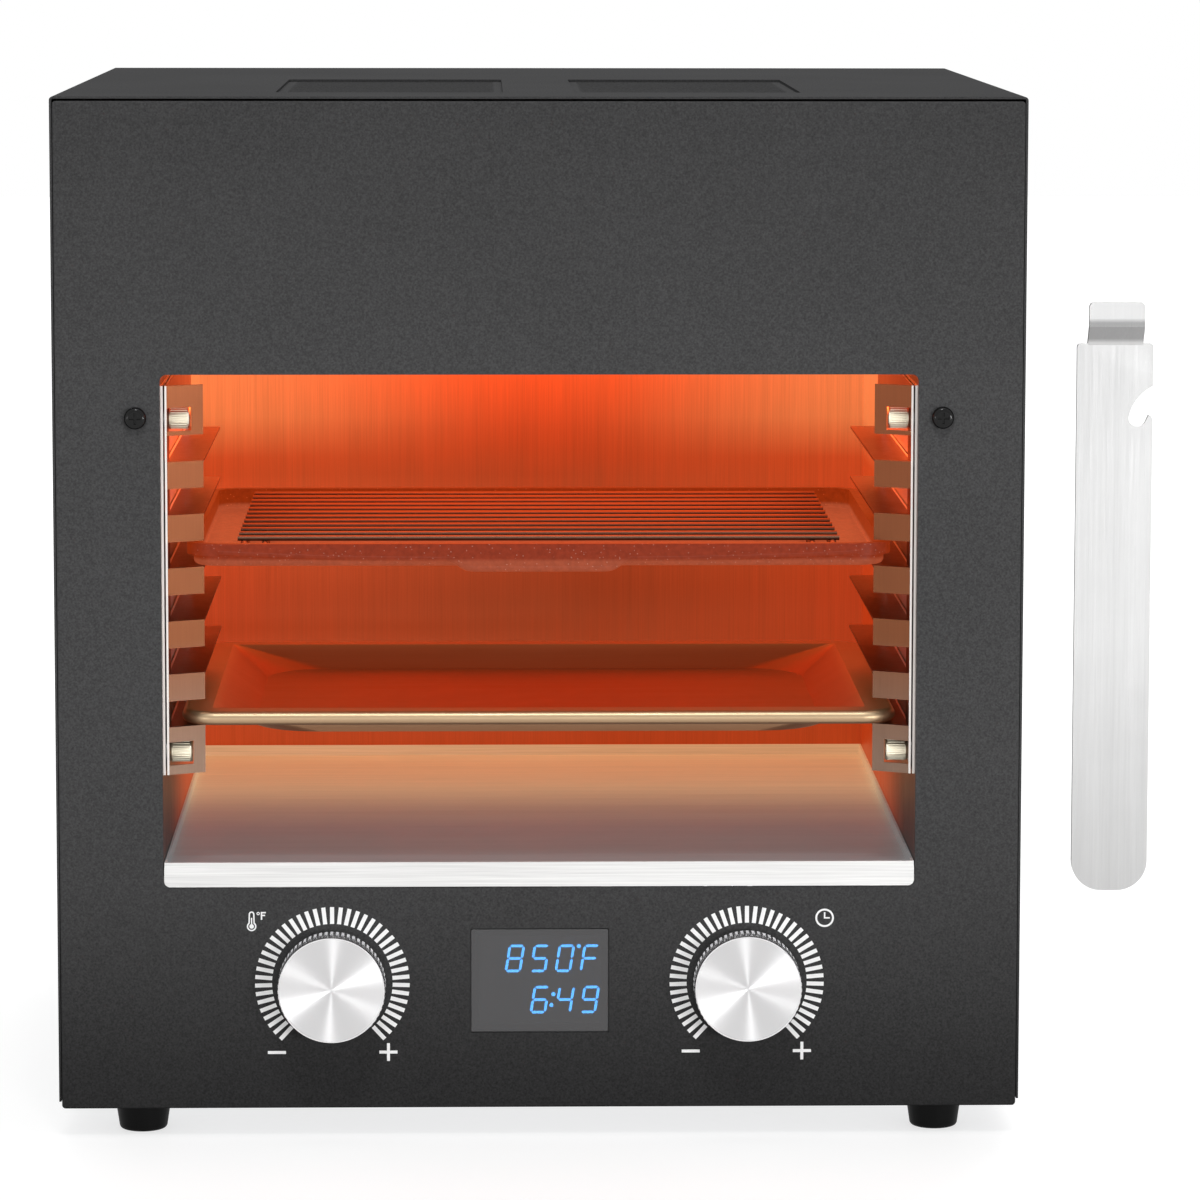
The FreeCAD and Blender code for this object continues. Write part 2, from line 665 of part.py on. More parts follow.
def base_plate():
    half = WRAP_INNER_X
    panel_flange_back = FRONT + PANEL_FLANGE + 1
    rear_half = WRAP_INNER_X - WRAP_REAR_FLANGE - 1
    plate = joined([
        box(-half, half, panel_flange_back, REAR_PANEL_FRONT, 0, BASE_THICKNESS),
        box(-PANEL_HALF_WIDTH + PANEL_CORNER_RADIUS, PANEL_HALF_WIDTH - PANEL_CORNER_RADIUS,
            PANEL_BACK, panel_flange_back, 0, BASE_THICKNESS),
        box(-half + 3, half - 3, PANEL_BACK, PANEL_BACK + BASE_THICKNESS, 0, BASE_FLANGE),
        box(-rear_half, rear_half, REAR_PANEL_FRONT - BASE_THICKNESS, REAR_PANEL_FRONT, 0, BASE_FLANGE),
        box(-half, -half + BASE_THICKNESS, panel_flange_back, REAR_PANEL_FRONT - SHEET - 1, 0, BASE_FLANGE),
        box(half - BASE_THICKNESS, half, panel_flange_back, REAR_PANEL_FRONT - SHEET - 1, 0, BASE_FLANGE),
    ])
    hole = SCREW_RADIUS + SCREW_HOLE_CLEARANCE
    tools = [cylinder_z(x, y, hole, -1, BASE_THICKNESS + 1) for x, y in FOOT_PLACES]
    for x, z in REAR_SCREW_PLACES:
        if z < BASE_FLANGE:
            tools.append(cylinder_y(x, z, hole, REAR_PANEL_FRONT - 2, REAR))
    for side in (-1, 1):
        x0, x1 = side * BASE_VENT_X - BASE_VENT_LENGTH / 2, side * BASE_VENT_X + BASE_VENT_LENGTH / 2
        for index in range(BASE_VENT_COUNT):
            y = FRONT + BASE_VENT_FRONT + BASE_VENT_PITCH * index
            tools.append(rounded_column(x0, x1, y, y + VENT_SLOT, -1, BASE_THICKNESS + 1,
                                        VENT_SLOT * SLOT_ROUNDING))
    return cut(plate, tools)


def rubber_feet():
    feet = []
    for x, y in FOOT_PLACES:
        cone = Part.makeCone(FOOT_BOTTOM_RADIUS, FOOT_TOP_RADIUS, FOOT_HEIGHT, vec(x, y, COUNTER))
        low_edges = [e for e in cone.Edges if e.BoundBox.ZMax < COUNTER + 1e-6]
        cone = cone.makeFillet(FOOT_EDGE_RADIUS, low_edges)
        recess = cylinder_z(x, y, FOOT_RECESS_RADIUS, COUNTER - 1, COUNTER + FOOT_RECESS_DEPTH)
        bore = cylinder_z(x, y, SCREW_RADIUS + SCREW_HOLE_CLEARANCE, COUNTER, 1)
        feet.append(cut(cone, [recess, bore]))
    return group(feet)


def foot_screws():
    seat = COUNTER + FOOT_RECESS_DEPTH
    length = -seat + BASE_THICKNESS + 5
    screw = turned(pan_screw(length), vec(1, 0, 0), 180)
    return group([moved(screw, x, y, seat) for x, y in FOOT_PLACES])


def front_screws():
    return group([
        screw_facing_front(side * FRONT_SCREW_X, FRONT, FRONT_SCREW_Z, FRONT_SCREW_LENGTH)
        for side in (-1, 1)
    ])


def rear_screws():
    return group([screw_facing_rear(x, REAR, z, REAR_SCREW_LENGTH) for x, z in REAR_SCREW_PLACES])


def cord_gland():
    flange = cylinder_y(GLAND_X, GLAND_Z, GLAND_FLANGE_RADIUS, REAR, REAR + GLAND_FLANGE)
    rim = [e for e in flange.Edges if e.BoundBox.YMin > REAR + GLAND_FLANGE - 1e-6]
    flange = flange.makeFillet(1.0, rim)
    neck = cylinder_y(GLAND_X, GLAND_Z, GLAND_NECK_RADIUS, REAR - GLAND_NECK_LENGTH, REAR)
    nut = hexagon_y(GLAND_X, GLAND_Z, 19.0, REAR_PANEL_FRONT - 3.5, REAR_PANEL_FRONT)
    bore = cylinder_y(GLAND_X, GLAND_Z, GLAND_BORE_RADIUS, REAR - GLAND_NECK_LENGTH - 1, REAR + 10)
    return cut(joined([flange, neck, nut]), [bore])


# Cavity


def cavity_liner():
    outer = box(-LINER_OUTER_X, LINER_OUTER_X, LINER_FRONT - SHEET, LINER_BACK, LINER_BOTTOM, LINER_TOP)
    inner = box(-CAVITY_HALF_WIDTH, CAVITY_HALF_WIDTH, FRONT, CAVITY_BACK, 0, CABINET_HEIGHT)
    flanges = [
        box(side * CAVITY_HALF_WIDTH, side * (LINER_OUTER_X + LINER_FLANGE), LINER_FRONT - SHEET,
            LINER_FRONT, LINER_BOTTOM, LINER_TOP)
        for side in (-1, 1)
    ]
    liner = joined([outer.cut(inner), *flanges])
    hole = SCREW_RADIUS + SCREW_HOLE_CLEARANCE
    tools = []
    for side in (-1, 1):
        near, far = side * (CAVITY_HALF_WIDTH - 1), side * (LINER_OUTER_X + 1)
        tools.append(cylinder_y(side * FRONT_SCREW_X, FRONT_SCREW_Z, hole, FRONT, LINER_FRONT + 1))
        for z in RACK_BOLT_Z:
            tools.append(cylinder_x(FRONT + RACK_BOLT_DEPTH, z, RACK_BOLT_RADIUS + 0.15, near, far))
        for y in TUBE_DEPTHS:
            tools.append(cylinder_x(y, TUBE_Z, CAP_RADIUS + CAP_HOLE_CLEARANCE, near, far))
        for z in RACK_HOOK_Z:
            tools.append(hook_box(z, HOOK_SLOT_CLEARANCE, near, far))
    tools.append(cylinder_y(PROBE_X, PROBE_Z, PROBE_RADIUS + 0.1, CAVITY_BACK - 1, LINER_BACK + 1))
    return cut(liner, tools)


def hook_box(z, clearance, x0, x1):
    """The place of one rack hook, seen along X."""
    rear = FRONT + RACK_REAR + clearance
    front = FRONT + RACK_REAR - RACK_HOOK_LENGTH - clearance
    half = RACK_HOOK_HEIGHT / 2 + clearance
    return box(x0, x1, front, rear, z - half, z + half)


def cavity_floor():
    low = CAVITY_FLOOR - SHEET
    parts = [box(-CAVITY_HALF_WIDTH, CAVITY_HALF_WIDTH, LINER_FRONT, CAVITY_BACK, low, CAVITY_FLOOR)]
    for side in (-1, 1):
        parts.append(box(side * CAVITY_HALF_WIDTH, side * (CAVITY_HALF_WIDTH - SHEET), LINER_FRONT,
                         CAVITY_BACK, LINER_BOTTOM + SHEET, CAVITY_FLOOR))
    return joined(parts)


def cavity_supports():
    """Upright sheets that carry the liner's lower edges from the base plate."""
    supports = []
    length = SUPPORT_HALF_LENGTH
    for side in (-1, 1):
        near = side * LINER_OUTER_X
        far = side * (LINER_OUTER_X + SUPPORT_THICKNESS)
        upright = box(near, far, -length, length, BASE_THICKNESS, SUPPORT_TOP)
        foot = box(near, side * (LINER_OUTER_X + SUPPORT_FOOT), -length, length, BASE_THICKNESS,
                   BASE_THICKNESS + SUPPORT_THICKNESS)
        supports.append(joined([upright, foot]))
    return group(supports)


def heater_reflector():
    front = LINER_FRONT + REFLECTOR_FRONT_GAP
    top = LINER_TOP
    low = top - REFLECTOR_FLANGE
    parts = [
        box(-CAVITY_HALF_WIDTH, CAVITY_HALF_WIDTH, front, CAVITY_BACK, top - SHEET, top),
        box(-CAVITY_HALF_WIDTH, CAVITY_HALF_WIDTH, front, front + SHEET, REFLECTOR_APRON_BOTTOM, top),
        box(-CAVITY_HALF_WIDTH, CAVITY_HALF_WIDTH, CAVITY_BACK - SHEET, CAVITY_BACK, low, top),
    ]
    half = REFLECTOR_RIDGE_WIDTH / 2
    ridge_end = CAP_INNER_X - 2
    for y in TUBE_DEPTHS[:-1]:
        middle = y + TUBE_PITCH / 2
        points = [
            vec(-ridge_end, middle - half, top - SHEET / 2),
            vec(-ridge_end, middle + half, top - SHEET / 2),
            vec(-ridge_end, middle, top - SHEET - REFLECTOR_RIDGE_HEIGHT),
        ]
        parts.append(prism(points, vec(2 * ridge_end, 0, 0)))
    return joined(parts)


def quartz_tubes():
    return group([
        cut(cylinder_x(y, TUBE_Z, TUBE_RADIUS, -TUBE_HALF_LENGTH, TUBE_HALF_LENGTH),
            [cylinder_x(y, TUBE_Z, TUBE_RADIUS - TUBE_WALL, -TUBE_HALF_LENGTH - 1, TUBE_HALF_LENGTH + 1)])
        for y in TUBE_DEPTHS
    ])


def heater_filaments():
    return group([
        cylinder_x(y, TUBE_Z, FILAMENT_RADIUS, -CAP_BORE_END, CAP_BORE_END)
        for y in TUBE_DEPTHS
    ])


def tube_end_caps():
    caps = []
    for side in (-1, 1):
        for y in TUBE_DEPTHS:
            cap = cylinder_x(y, TUBE_Z, CAP_RADIUS, side * CAP_INNER_X, side * CAP_OUTER_X)
            bore = cylinder_x(y, TUBE_Z, TUBE_RADIUS + CAP_BORE_CLEARANCE, side * (CAP_INNER_X - 1),
                              side * CAP_BORE_END)
            caps.append(cut(cap, [bore]))
    return group(caps)


def tube_terminals():
    """On each side one strip joins the tabs of the four tubes."""
    half_w, half_t = TERMINAL_WIDTH / 2, TERMINAL_THICKNESS / 2
    strips = []
    for side in (-1, 1):
        outer = side * (CAP_OUTER_X + TERMINAL_LENGTH)
        tabs = [
            box(side * CAP_OUTER_X, outer, y - half_w, y + half_w, TUBE_Z - half_t, TUBE_Z + half_t)
            for y in TUBE_DEPTHS
        ]
        strip = box(outer - side * half_w, outer, TUBE_DEPTHS[0], TUBE_DEPTHS[-1], TUBE_Z - half_t,
                    TUBE_Z + half_t)
        strips.append(joined([strip, *tabs]))
    return group(strips)


def tube_bracket(side):
    """A channel outside the liner that carries the ceramic caps of its side."""
    y0 = TUBE_DEPTHS[0] - BRACKET_OVERHANG
    y1 = TUBE_DEPTHS[-1] + BRACKET_OVERHANG
    near = side * LINER_OUTER_X
    plate_in = side * BRACKET_X
    plate_out = side * (BRACKET_X + BRACKET_THICKNESS)
    low, high = TUBE_Z - BRACKET_HALF_HEIGHT, TUBE_Z + BRACKET_HALF_HEIGHT
    channel = joined([
        box(plate_in, plate_out, y0, y1, low, high),
        box(near, plate_out, y0, y1, low, low + BRACKET_THICKNESS),
        box(near, plate_out, y0, y1, high - BRACKET_THICKNESS, high),
    ])
    holes = [
        cylinder_x(y, TUBE_Z, CAP_RADIUS + 0.05, plate_in - side, plate_out + side)
        for y in TUBE_DEPTHS
    ]
    return cut(channel, holes)


def top_insulation():
    return box(-CAVITY_HALF_WIDTH, CAVITY_HALF_WIDTH, LINER_FRONT + INSULATION_MARGIN, CAVITY_BACK,
               LINER_TOP, LINER_TOP + TOP_INSULATION)


def back_insulation():
    half = CAVITY_HALF_WIDTH - INSULATION_MARGIN
    blanket = box(-half, half, LINER_BACK, LINER_BACK + BACK_INSULATION,
                  CAVITY_FLOOR, LINER_TOP - INSULATION_MARGIN)
    far = LINER_BACK + BACK_INSULATION + 1
    return cut(blanket, [
        cylinder_y(PROBE_X, PROBE_Z, PROBE_COLLAR_RADIUS + 1, LINER_BACK - 1, far),
        cylinder_y(CUTOUT_X, CUTOUT_Z, CUTOUT_RADIUS + 1, LINER_BACK - 1, far),
    ])


def side_insulation(side):
    near = side * LINER_OUTER_X
    far = side * (LINER_OUTER_X + SIDE_INSULATION)
    blanket = box(near, far, LINER_FRONT + INSULATION_MARGIN, CAVITY_BACK, SIDE_INSULATION_BOTTOM,
                  SIDE_INSULATION_TOP)
    return cut(blanket, [hook_box(z, HOOK_SLOT_CLEARANCE, near - side, far + side) for z in RACK_HOOK_Z])


# Tray racks


def right_rack():
    """A sheet folded double at its rear: the inner leaf carries the ledges, the outer one backs it."""
    outer = RACK_PLATE_X + SHEET
    leaf = outer + RACK_LEAF_GAP
    front, rear = FRONT + RACK_FRONT, FRONT + RACK_REAR
    inner = RACK_PLATE_X - LEDGE_WIDTH
    plate = box(RACK_PLATE_X, outer, front, rear, RACK_BOTTOM, RACK_TOP)
    backing = [
        box(leaf, leaf + SHEET, front, rear, RACK_BOTTOM, RACK_TOP),
        box(RACK_PLATE_X, leaf + SHEET, rear, rear + SHEET, RACK_BOTTOM, RACK_TOP),
    ]
    windows = [
        box(RACK_PLATE_X - 1, outer + 1, FRONT + RACK_WINDOW_FRONT, FRONT + LEDGE_REAR,
            ledge_z(level), ledge_z(level) + RACK_WINDOW_HEIGHT)
        for level in range(LEVELS)
    ]
    plate = plate.cut(windows)
    run = outer - inner
    length = math.hypot(run, FLANGE_LEAN)
    lean_x, lean_y = SHEET * FLANGE_LEAN / length, SHEET * run / length
    section = [
        vec(outer, front, RACK_BOTTOM),
        vec(inner, front + FLANGE_LEAN, RACK_BOTTOM),
        vec(inner + lean_x, front + FLANGE_LEAN + lean_y, RACK_BOTTOM),
        vec(outer, front + lean_y + lean_x * FLANGE_LEAN / run, RACK_BOTTOM),
    ]
    flange = prism(section, vec(0, 0, RACK_TOP - RACK_BOTTOM))
    slots = [
        box(inner - 1, RACK_PLATE_X, front - 1, front + FLANGE_LEAN + 5, ledge_z(level),
            ledge_z(level) + SLOT_HEIGHT)
        for level in range(LEVELS)
    ]
    bolt_y = FRONT + RACK_BOLT_DEPTH
    half = RACK_NUT_WINDOW / 2
    nut_windows = [
        box(RACK_PLATE_X - RACK_NUT_WINDOW, RACK_PLATE_X, front - 1, bolt_y, z - half, z + half)
        for z in RACK_BOLT_Z
    ]
    flange = flange.cut(slots + nut_windows)
    ledges = []
    for level in range(LEVELS):
        z = ledge_z(level) - SHEET
        points = [
            vec(outer, front + SHEET / 2, z),
            vec(inner, front + FLANGE_LEAN, z),
            vec(inner, FRONT + LEDGE_REAR, z),
            vec(outer, FRONT + LEDGE_REAR, z),
        ]
        ledges.append(prism(points, vec(0, 0, SHEET)))
    hooks = [hook_box(z, 0, RACK_PLATE_X, outer + RACK_HOOK_REACH) for z in RACK_HOOK_Z]
    holes = [
        cylinder_x(bolt_y, z, RACK_BOLT_RADIUS + 0.15, RACK_PLATE_X - 1, leaf + SHEET + 1)
        for z in RACK_BOLT_Z
    ]
    return cut(joined([plate, *backing, flange, *ledges, *hooks]), holes)


def left_rack():
    return mirrored(right_rack())


def rack_fasteners(make_one):
    """One of the same fastener at each rack bolt."""
    shapes = []
    for z in RACK_BOLT_Z:
        shape = make_one(FRONT + RACK_BOLT_DEPTH, z)
        shapes += [shape, mirrored(shape)]
    return group(shapes)


def rack_bolt(y, z):
    head = turned(hexagon_y(0, 0, 8.0, 0, 3.4), vec(0, 0, 1), -90)
    head = moved(head, LINER_OUTER_X, y, z)
    shank = cylinder_x(y, z, RACK_BOLT_RADIUS, RACK_PLATE_X - RACK_NUT_LENGTH, LINER_OUTER_X + 1)
    return joined([head, shank])


def rack_spacer(y, z):
    """A thin washer that keeps the rack's two leaves apart at a bolt."""
    near = RACK_PLATE_X + SHEET
    far = near + RACK_LEAF_GAP
    disc = cylinder_x(y, z, RACK_NUT_RADIUS, near, far)
    return cut(disc, [cylinder_x(y, z, RACK_BOLT_RADIUS + 0.15, near - 1, far + 1)])


def rack_nut(y, z):
    """A knurled round nut whose ridges come from a ring of small grooves."""
    x0 = RACK_PLATE_X - RACK_NUT_LENGTH
    body = cylinder_x(y, z, RACK_NUT_RADIUS, x0, RACK_PLATE_X)
    ends = [e for e in body.Edges if e.BoundBox.XLength < 1e-6]
    body = body.makeChamfer(0.5, ends)
    tools = [cylinder_x(y, z, RACK_BOLT_RADIUS + 0.03, x0 - 1, RACK_PLATE_X + 1)]
    for index in range(RACK_NUT_RIDGES):
        angle = 2 * math.pi * index / RACK_NUT_RIDGES
        tools.append(cylinder_x(y + (RACK_NUT_RADIUS + 0.12) * math.cos(angle),
                                z + (RACK_NUT_RADIUS + 0.12) * math.sin(angle),
                                0.32, x0 + 1, RACK_PLATE_X - 1))
    return cut(body, tools)


# Trays


def tray_outline(half_width, inset, z, corner):
    """The rounded outline of a tray, drawn in from its outer edge by an inset."""
    front = FRONT + TRAY_FRONT + inset
    rear = FRONT + TRAY_FRONT + TRAY_DEPTH - inset
    return rounded_wire(-half_width + inset, half_width - inset, front, rear,
                        max(corner - inset, 1.0), lambda u, v: vec(u, v, z))


def tray_block(half_width, inset, z0, z1, corner):
    return Part.Face(tray_outline(half_width, inset, z0, corner)).extrude(vec(0, 0, z1 - z0))


def with_round_bottom(shape, radius):
    bottom = shape.BoundBox.ZMin
    edges = [e for e in shape.Edges if e.BoundBox.ZMax < bottom + 1e-6]
    return shape.makeFillet(radius, edges)


def front_drop_edges(half, y, low):
    """The lower edge of the upper tray's front, bowed down to the pull lip in its middle."""
    shoulder = PULL_LIP_WIDTH / 2 + PULL_LIP_SHOULDER
    middle = PULL_LIP_WIDTH / 2 + PULL_LIP_SHOULDER / 2
    narrow = PULL_LIP_WIDTH / 2
    bowed = low - UPPER_TRAY_FRONT_BOW
    lip = bowed - PULL_LIP_DROP
    slope = (half + shoulder) / 2
    return [
        smooth_edge(vec(-half, y, low), vec(-slope, y, bowed), vec(-shoulder, y, bowed)),
        smooth_edge(vec(-shoulder, y, bowed), vec(-middle, y, bowed), vec(-middle, y, lip),
                    vec(-narrow, y, lip)),
        Part.LineSegment(vec(-narrow, y, lip), vec(narrow, y, lip)).toShape(),
        smooth_edge(vec(narrow, y, lip), vec(middle, y, lip), vec(middle, y, bowed),
                    vec(shoulder, y, bowed)),
        smooth_edge(vec(shoulder, y, bowed), vec(slope, y, bowed), vec(half, y, low)),
    ]


def upper_tray():
    half, corner, wall = UPPER_TRAY_HALF_WIDTH, UPPER_TRAY_CORNER, UPPER_TRAY_WALL
    bottom = ledge_z(UPPER_TRAY_LEVEL) + TRAY_GAP
    top = bottom + UPPER_TRAY_PAN_DEPTH
    inset = UPPER_TRAY_PAN_INSET
    pan = with_round_bottom(tray_block(half, inset, bottom, top, corner), UPPER_TRAY_BOTTOM_RADIUS)
    well = with_round_bottom(
        tray_block(half, inset + wall, bottom + wall, top + 1, corner), UPPER_TRAY_BOTTOM_RADIUS * 0.6
    )
    rim = tray_block(half, 0, top - wall, top, corner)
    edge = tray_block(half, 0, top - UPPER_TRAY_RIM_DROP, top, corner)
    edge = edge.cut(tray_block(half, wall, top - UPPER_TRAY_RIM_DROP - 1, top + 1, corner))
    front = FRONT + TRAY_FRONT
    side_x = half - corner
    low = top - UPPER_TRAY_RIM_DROP + UPPER_TRAY_ROLL_RADIUS
    left = Part.LineSegment(vec(-side_x, front, top), vec(-side_x, front, low)).toShape()
    right = Part.LineSegment(vec(side_x, front, low), vec(side_x, front, top)).toShape()
    upper = Part.LineSegment(vec(side_x, front, top), vec(-side_x, front, top)).toShape()
    outline = Part.Wire([left, *front_drop_edges(side_x, front, low), right, upper])
    apron = Part.Face(outline).extrude(vec(0, wall, 0))
    roll = swept_ring(Part.Wire(front_drop_edges(side_x, front + wall / 2, low)), UPPER_TRAY_ROLL_RADIUS)
    return cut(joined([pan, rim, edge, apron, roll]), [well])


def lower_tray():
    half, corner, wall = LOWER_TRAY_HALF_WIDTH, LOWER_TRAY_CORNER, LOWER_TRAY_SHEET
    bead = LOWER_TRAY_BEAD_RADIUS
    bead_z = ledge_z(LOWER_TRAY_LEVEL) + TRAY_GAP + bead
    top = bead_z + bead
    bottom = top - LOWER_TRAY_BASIN_DEPTH
    ledge_inner = RACK_PLATE_X - LEDGE_WIDTH
    basin_inset = half - (ledge_inner - LOWER_TRAY_BASIN_GAP)
    foot_inset = basin_inset + LOWER_TRAY_END_SLOPE
    foot_half = half - (LOWER_TRAY_SIDE_SLOPE - LOWER_TRAY_END_SLOPE)
    foot_corner = LOWER_TRAY_FOOT_CORNER + foot_inset
    slope_length = math.hypot(LOWER_TRAY_SIDE_SLOPE, LOWER_TRAY_BASIN_DEPTH)
    side_wall = wall * slope_length / LOWER_TRAY_BASIN_DEPTH
    outer_outlines = [
        tray_outline(foot_half, foot_inset, bottom, foot_corner),
        tray_outline(half, basin_inset, top, corner),
    ]
    inner_outlines = [
        tray_outline(foot_half, foot_inset + wall, bottom + wall, foot_corner),
        tray_outline(half - side_wall + wall, basin_inset + wall, top + 0.01, corner),
    ]
    outside = Part.makeLoft(outer_outlines, True, True)
    inside = Part.makeLoft(inner_outlines, True, True)
    flange = tray_block(half, bead, top - wall, top, corner)
    roll = swept_ring(tray_outline(half, bead, bead_z, corner), bead)
    return cut(joined([outside, flange, roll]), [inside])


def wire_grill():
    floor = ledge_z(UPPER_TRAY_LEVEL) + TRAY_GAP + UPPER_TRAY_WALL + TRAY_GAP
    frame_z = floor + GRILL_LEG_HEIGHT
    bar_z = frame_z + GRILL_FRAME_RADIUS + GRILL_BAR_RADIUS - GRILL_BAR_BITE
    y0 = FRONT + GRILL_FRONT + GRILL_FRAME_RADIUS
    y1 = FRONT + GRILL_FRONT + GRILL_DEPTH - GRILL_FRAME_RADIUS
    side_x = GRILL_HALF_WIDTH - GRILL_FRAME_INSET
    path = rounded_wire(-side_x, side_x, y0, y1, 5.0, lambda u, v: vec(u, v, frame_z))
    parts = [swept_ring(path, GRILL_FRAME_RADIUS)]
    for index in range(GRILL_BAR_COUNT):
        y = y0 + (y1 - y0) * (index + 1) / (GRILL_BAR_COUNT + 1)
        parts.append(cylinder_x(y, bar_z, GRILL_BAR_RADIUS, -GRILL_HALF_WIDTH, GRILL_HALF_WIDTH))
    for side in (-1, 1):
        parts.append(cylinder_y(side * GRILL_LEG_X, frame_z, GRILL_RUNNER_RADIUS, y0, y1))
        for y in (y0 + GRILL_LEG_INSET, y1 - GRILL_LEG_INSET):
            parts.append(cylinder_z(side * GRILL_LEG_X, y, GRILL_LEG_RADIUS, floor, frame_z))
    return joined(parts)


def drip_tray():
    low = CAVITY_FLOOR + TRAY_GAP
    half = CAVITY_HALF_WIDTH - DRIP_SIDE_GAP
    lip_front = FRONT - DRIP_LIP_PROUD
    rear = CAVITY_BACK - DRIP_REAR_GAP
    outside = box(-half, half, lip_front, rear, low, DRIP_LIP_TOP)
    inside = box(-half + DRIP_SHEET, half - DRIP_SHEET, lip_front + DRIP_SHEET, rear - DRIP_SHEET,
                 low + DRIP_SHEET, DRIP_LIP_TOP + 1)
    lip_half = OPENING_HALF_WIDTH - DRIP_LIP_GAP
    lip = rounded_slab(-lip_half, lip_half, lip_front, lip_front + DRIP_SHEET,
                       OPENING_BOTTOM + DRIP_LIP_GAP, DRIP_LIP_TOP, OPENING_RADIUS - DRIP_LIP_GAP)
    return joined([outside.cut(inside), lip])


# Knobs, encoders and display


def knob_place(side):
    return side * KNOB_X


def knob_body(side):
    """A fluted skirt with a front web and a hub, opened at the back."""
    x = knob_place(side)
    skirt = cylinder_y(x, KNOB_Z, KNOB_RADIUS, KNOB_FRONT + KNOB_TAPER_LENGTH, KNOB_BACK)
    crown = Part.makeCone(KNOB_RADIUS, KNOB_TOP_RADIUS, KNOB_TAPER_LENGTH,
                          vec(x, KNOB_FRONT + KNOB_TAPER_LENGTH, KNOB_Z), vec(0, -1, 0))
    flutes = []
    for index in range(KNOB_FLUTES):
        angle = 2 * math.pi * index / KNOB_FLUTES
        flutes.append(cylinder_y(x + KNOB_RADIUS * math.cos(angle), KNOB_Z + KNOB_RADIUS * math.sin(angle),
                                 KNOB_FLUTE_RADIUS, KNOB_BACK - 1.2, KNOB_FRONT + KNOB_TAPER_LENGTH))
    body = joined([skirt, crown])
    well = cylinder_y(x, KNOB_Z, KNOB_RADIUS - KNOB_WALL, KNOB_FRONT + KNOB_WALL + KNOB_FACE_THICKNESS,
                      KNOB_BACK + 1)
    face_seat = cylinder_y(x, KNOB_Z, KNOB_FACE_RADIUS + PRESS_CLEARANCE, KNOB_FRONT - 1,
                           KNOB_FRONT + KNOB_FACE_THICKNESS)
    body = body.cut([well, face_seat, *flutes])
    web_back = KNOB_FRONT + KNOB_FACE_THICKNESS + KNOB_WALL
    hub = cylinder_y(x, KNOB_Z, KNOB_HUB_RADIUS, web_back - 0.2, web_back + KNOB_HUB_LENGTH)
    bore = cylinder_y(x, KNOB_Z, SHAFT_RADIUS + PRESS_CLEARANCE, web_back - 1, KNOB_BACK)
    return cut(joined([body, hub]), [bore])


def knob_face(side):
    """A thin aluminium disc, very slightly dished, let into the knob's front."""
    x = knob_place(side)
    disc = cylinder_y(x, KNOB_Z, KNOB_FACE_RADIUS, KNOB_FRONT, KNOB_FRONT + KNOB_FACE_THICKNESS)
    dish = Part.makeCone(KNOB_FACE_RADIUS - 0.5, 0.5, KNOB_FACE_DISH, vec(x, KNOB_FRONT, KNOB_Z),
                         vec(0, 1, 0))
    return cut(disc, [dish])


def knob_shaft(side):
    x = knob_place(side)
    web_back = KNOB_FRONT + KNOB_FACE_THICKNESS + KNOB_WALL
    return cylinder_y(x, KNOB_Z, SHAFT_RADIUS, web_back - 1, SHAFT_BACK)


def push_contact(side):
    return cylinder_y(knob_place(side), KNOB_Z, PUSH_CONTACT_RADIUS, CONTACT_FRONT, CONTACT_BACK)


def knob_encoder(side):
    x = knob_place(side)
    half = ENCODER_SIZE / 2
    body = box(x - half, x + half, PANEL_BACK, BOARD_FRONT, KNOB_Z - half, KNOB_Z + half)
    bushing = cylinder_y(x, KNOB_Z, BUSHING_RADIUS, FRONT - BUSHING_LENGTH, PANEL_BACK)
    bore = cylinder_y(x, KNOB_Z, SHAFT_RADIUS + SHAFT_CLEARANCE, FRONT - BUSHING_LENGTH - 1,
                      BOARD_FRONT - ENCODER_BASE)
    return cut(joined([body, bushing]), [bore])


def encoder_nuts():
    nuts = []
    for side in (-1, 1):
        nut = hexagon_y(knob_place(side), KNOB_Z, ENCODER_NUT_ACROSS, FRONT - ENCODER_NUT_THICKNESS, FRONT)
        bore = cylinder_y(knob_place(side), KNOB_Z, BUSHING_RADIUS + 0.03, FRONT - 5, FRONT + 1)
        nuts.append(cut(nut, [bore]))
    return group(nuts)


def display_window():
    half_w, half_h = DISPLAY_WIDTH / 2, DISPLAY_HEIGHT / 2
    y0 = FRONT + DISPLAY_RECESS
    return rounded_slab(-half_w, half_w, y0, y0 + DISPLAY_GLASS, DISPLAY_Z - half_h, DISPLAY_Z + half_h, 0.5)


def display_holder():
    half_w, half_h = DISPLAY_WIDTH / 2, DISPLAY_HEIGHT / 2
    glass_back = FRONT + DISPLAY_RECESS + DISPLAY_GLASS

    def frame_block(grow, y0, y1):
        width, height = half_w + grow, half_h + grow
        return box(-width, width, y0, y1, DISPLAY_Z - height, DISPLAY_Z + height)

    frame = frame_block(HOLDER_BORDER, PANEL_BACK, BOARD_FRONT)
    return cut(frame, [
        frame_block(0.1, PANEL_BACK - 1, glass_back),
        frame_block(-DISPLAY_LEDGE, PANEL_BACK - 1, BOARD_FRONT + 1),
    ])


def display_module():
    half_w = DISPLAY_WIDTH / 2 - DISPLAY_LEDGE - MODULE_CLEARANCE
    half_h = DISPLAY_HEIGHT / 2 - DISPLAY_LEDGE - MODULE_CLEARANCE
    return box(-half_w, half_w, BOARD_FRONT - MODULE_THICKNESS, BOARD_FRONT, DISPLAY_Z - half_h,
               DISPLAY_Z + half_h)


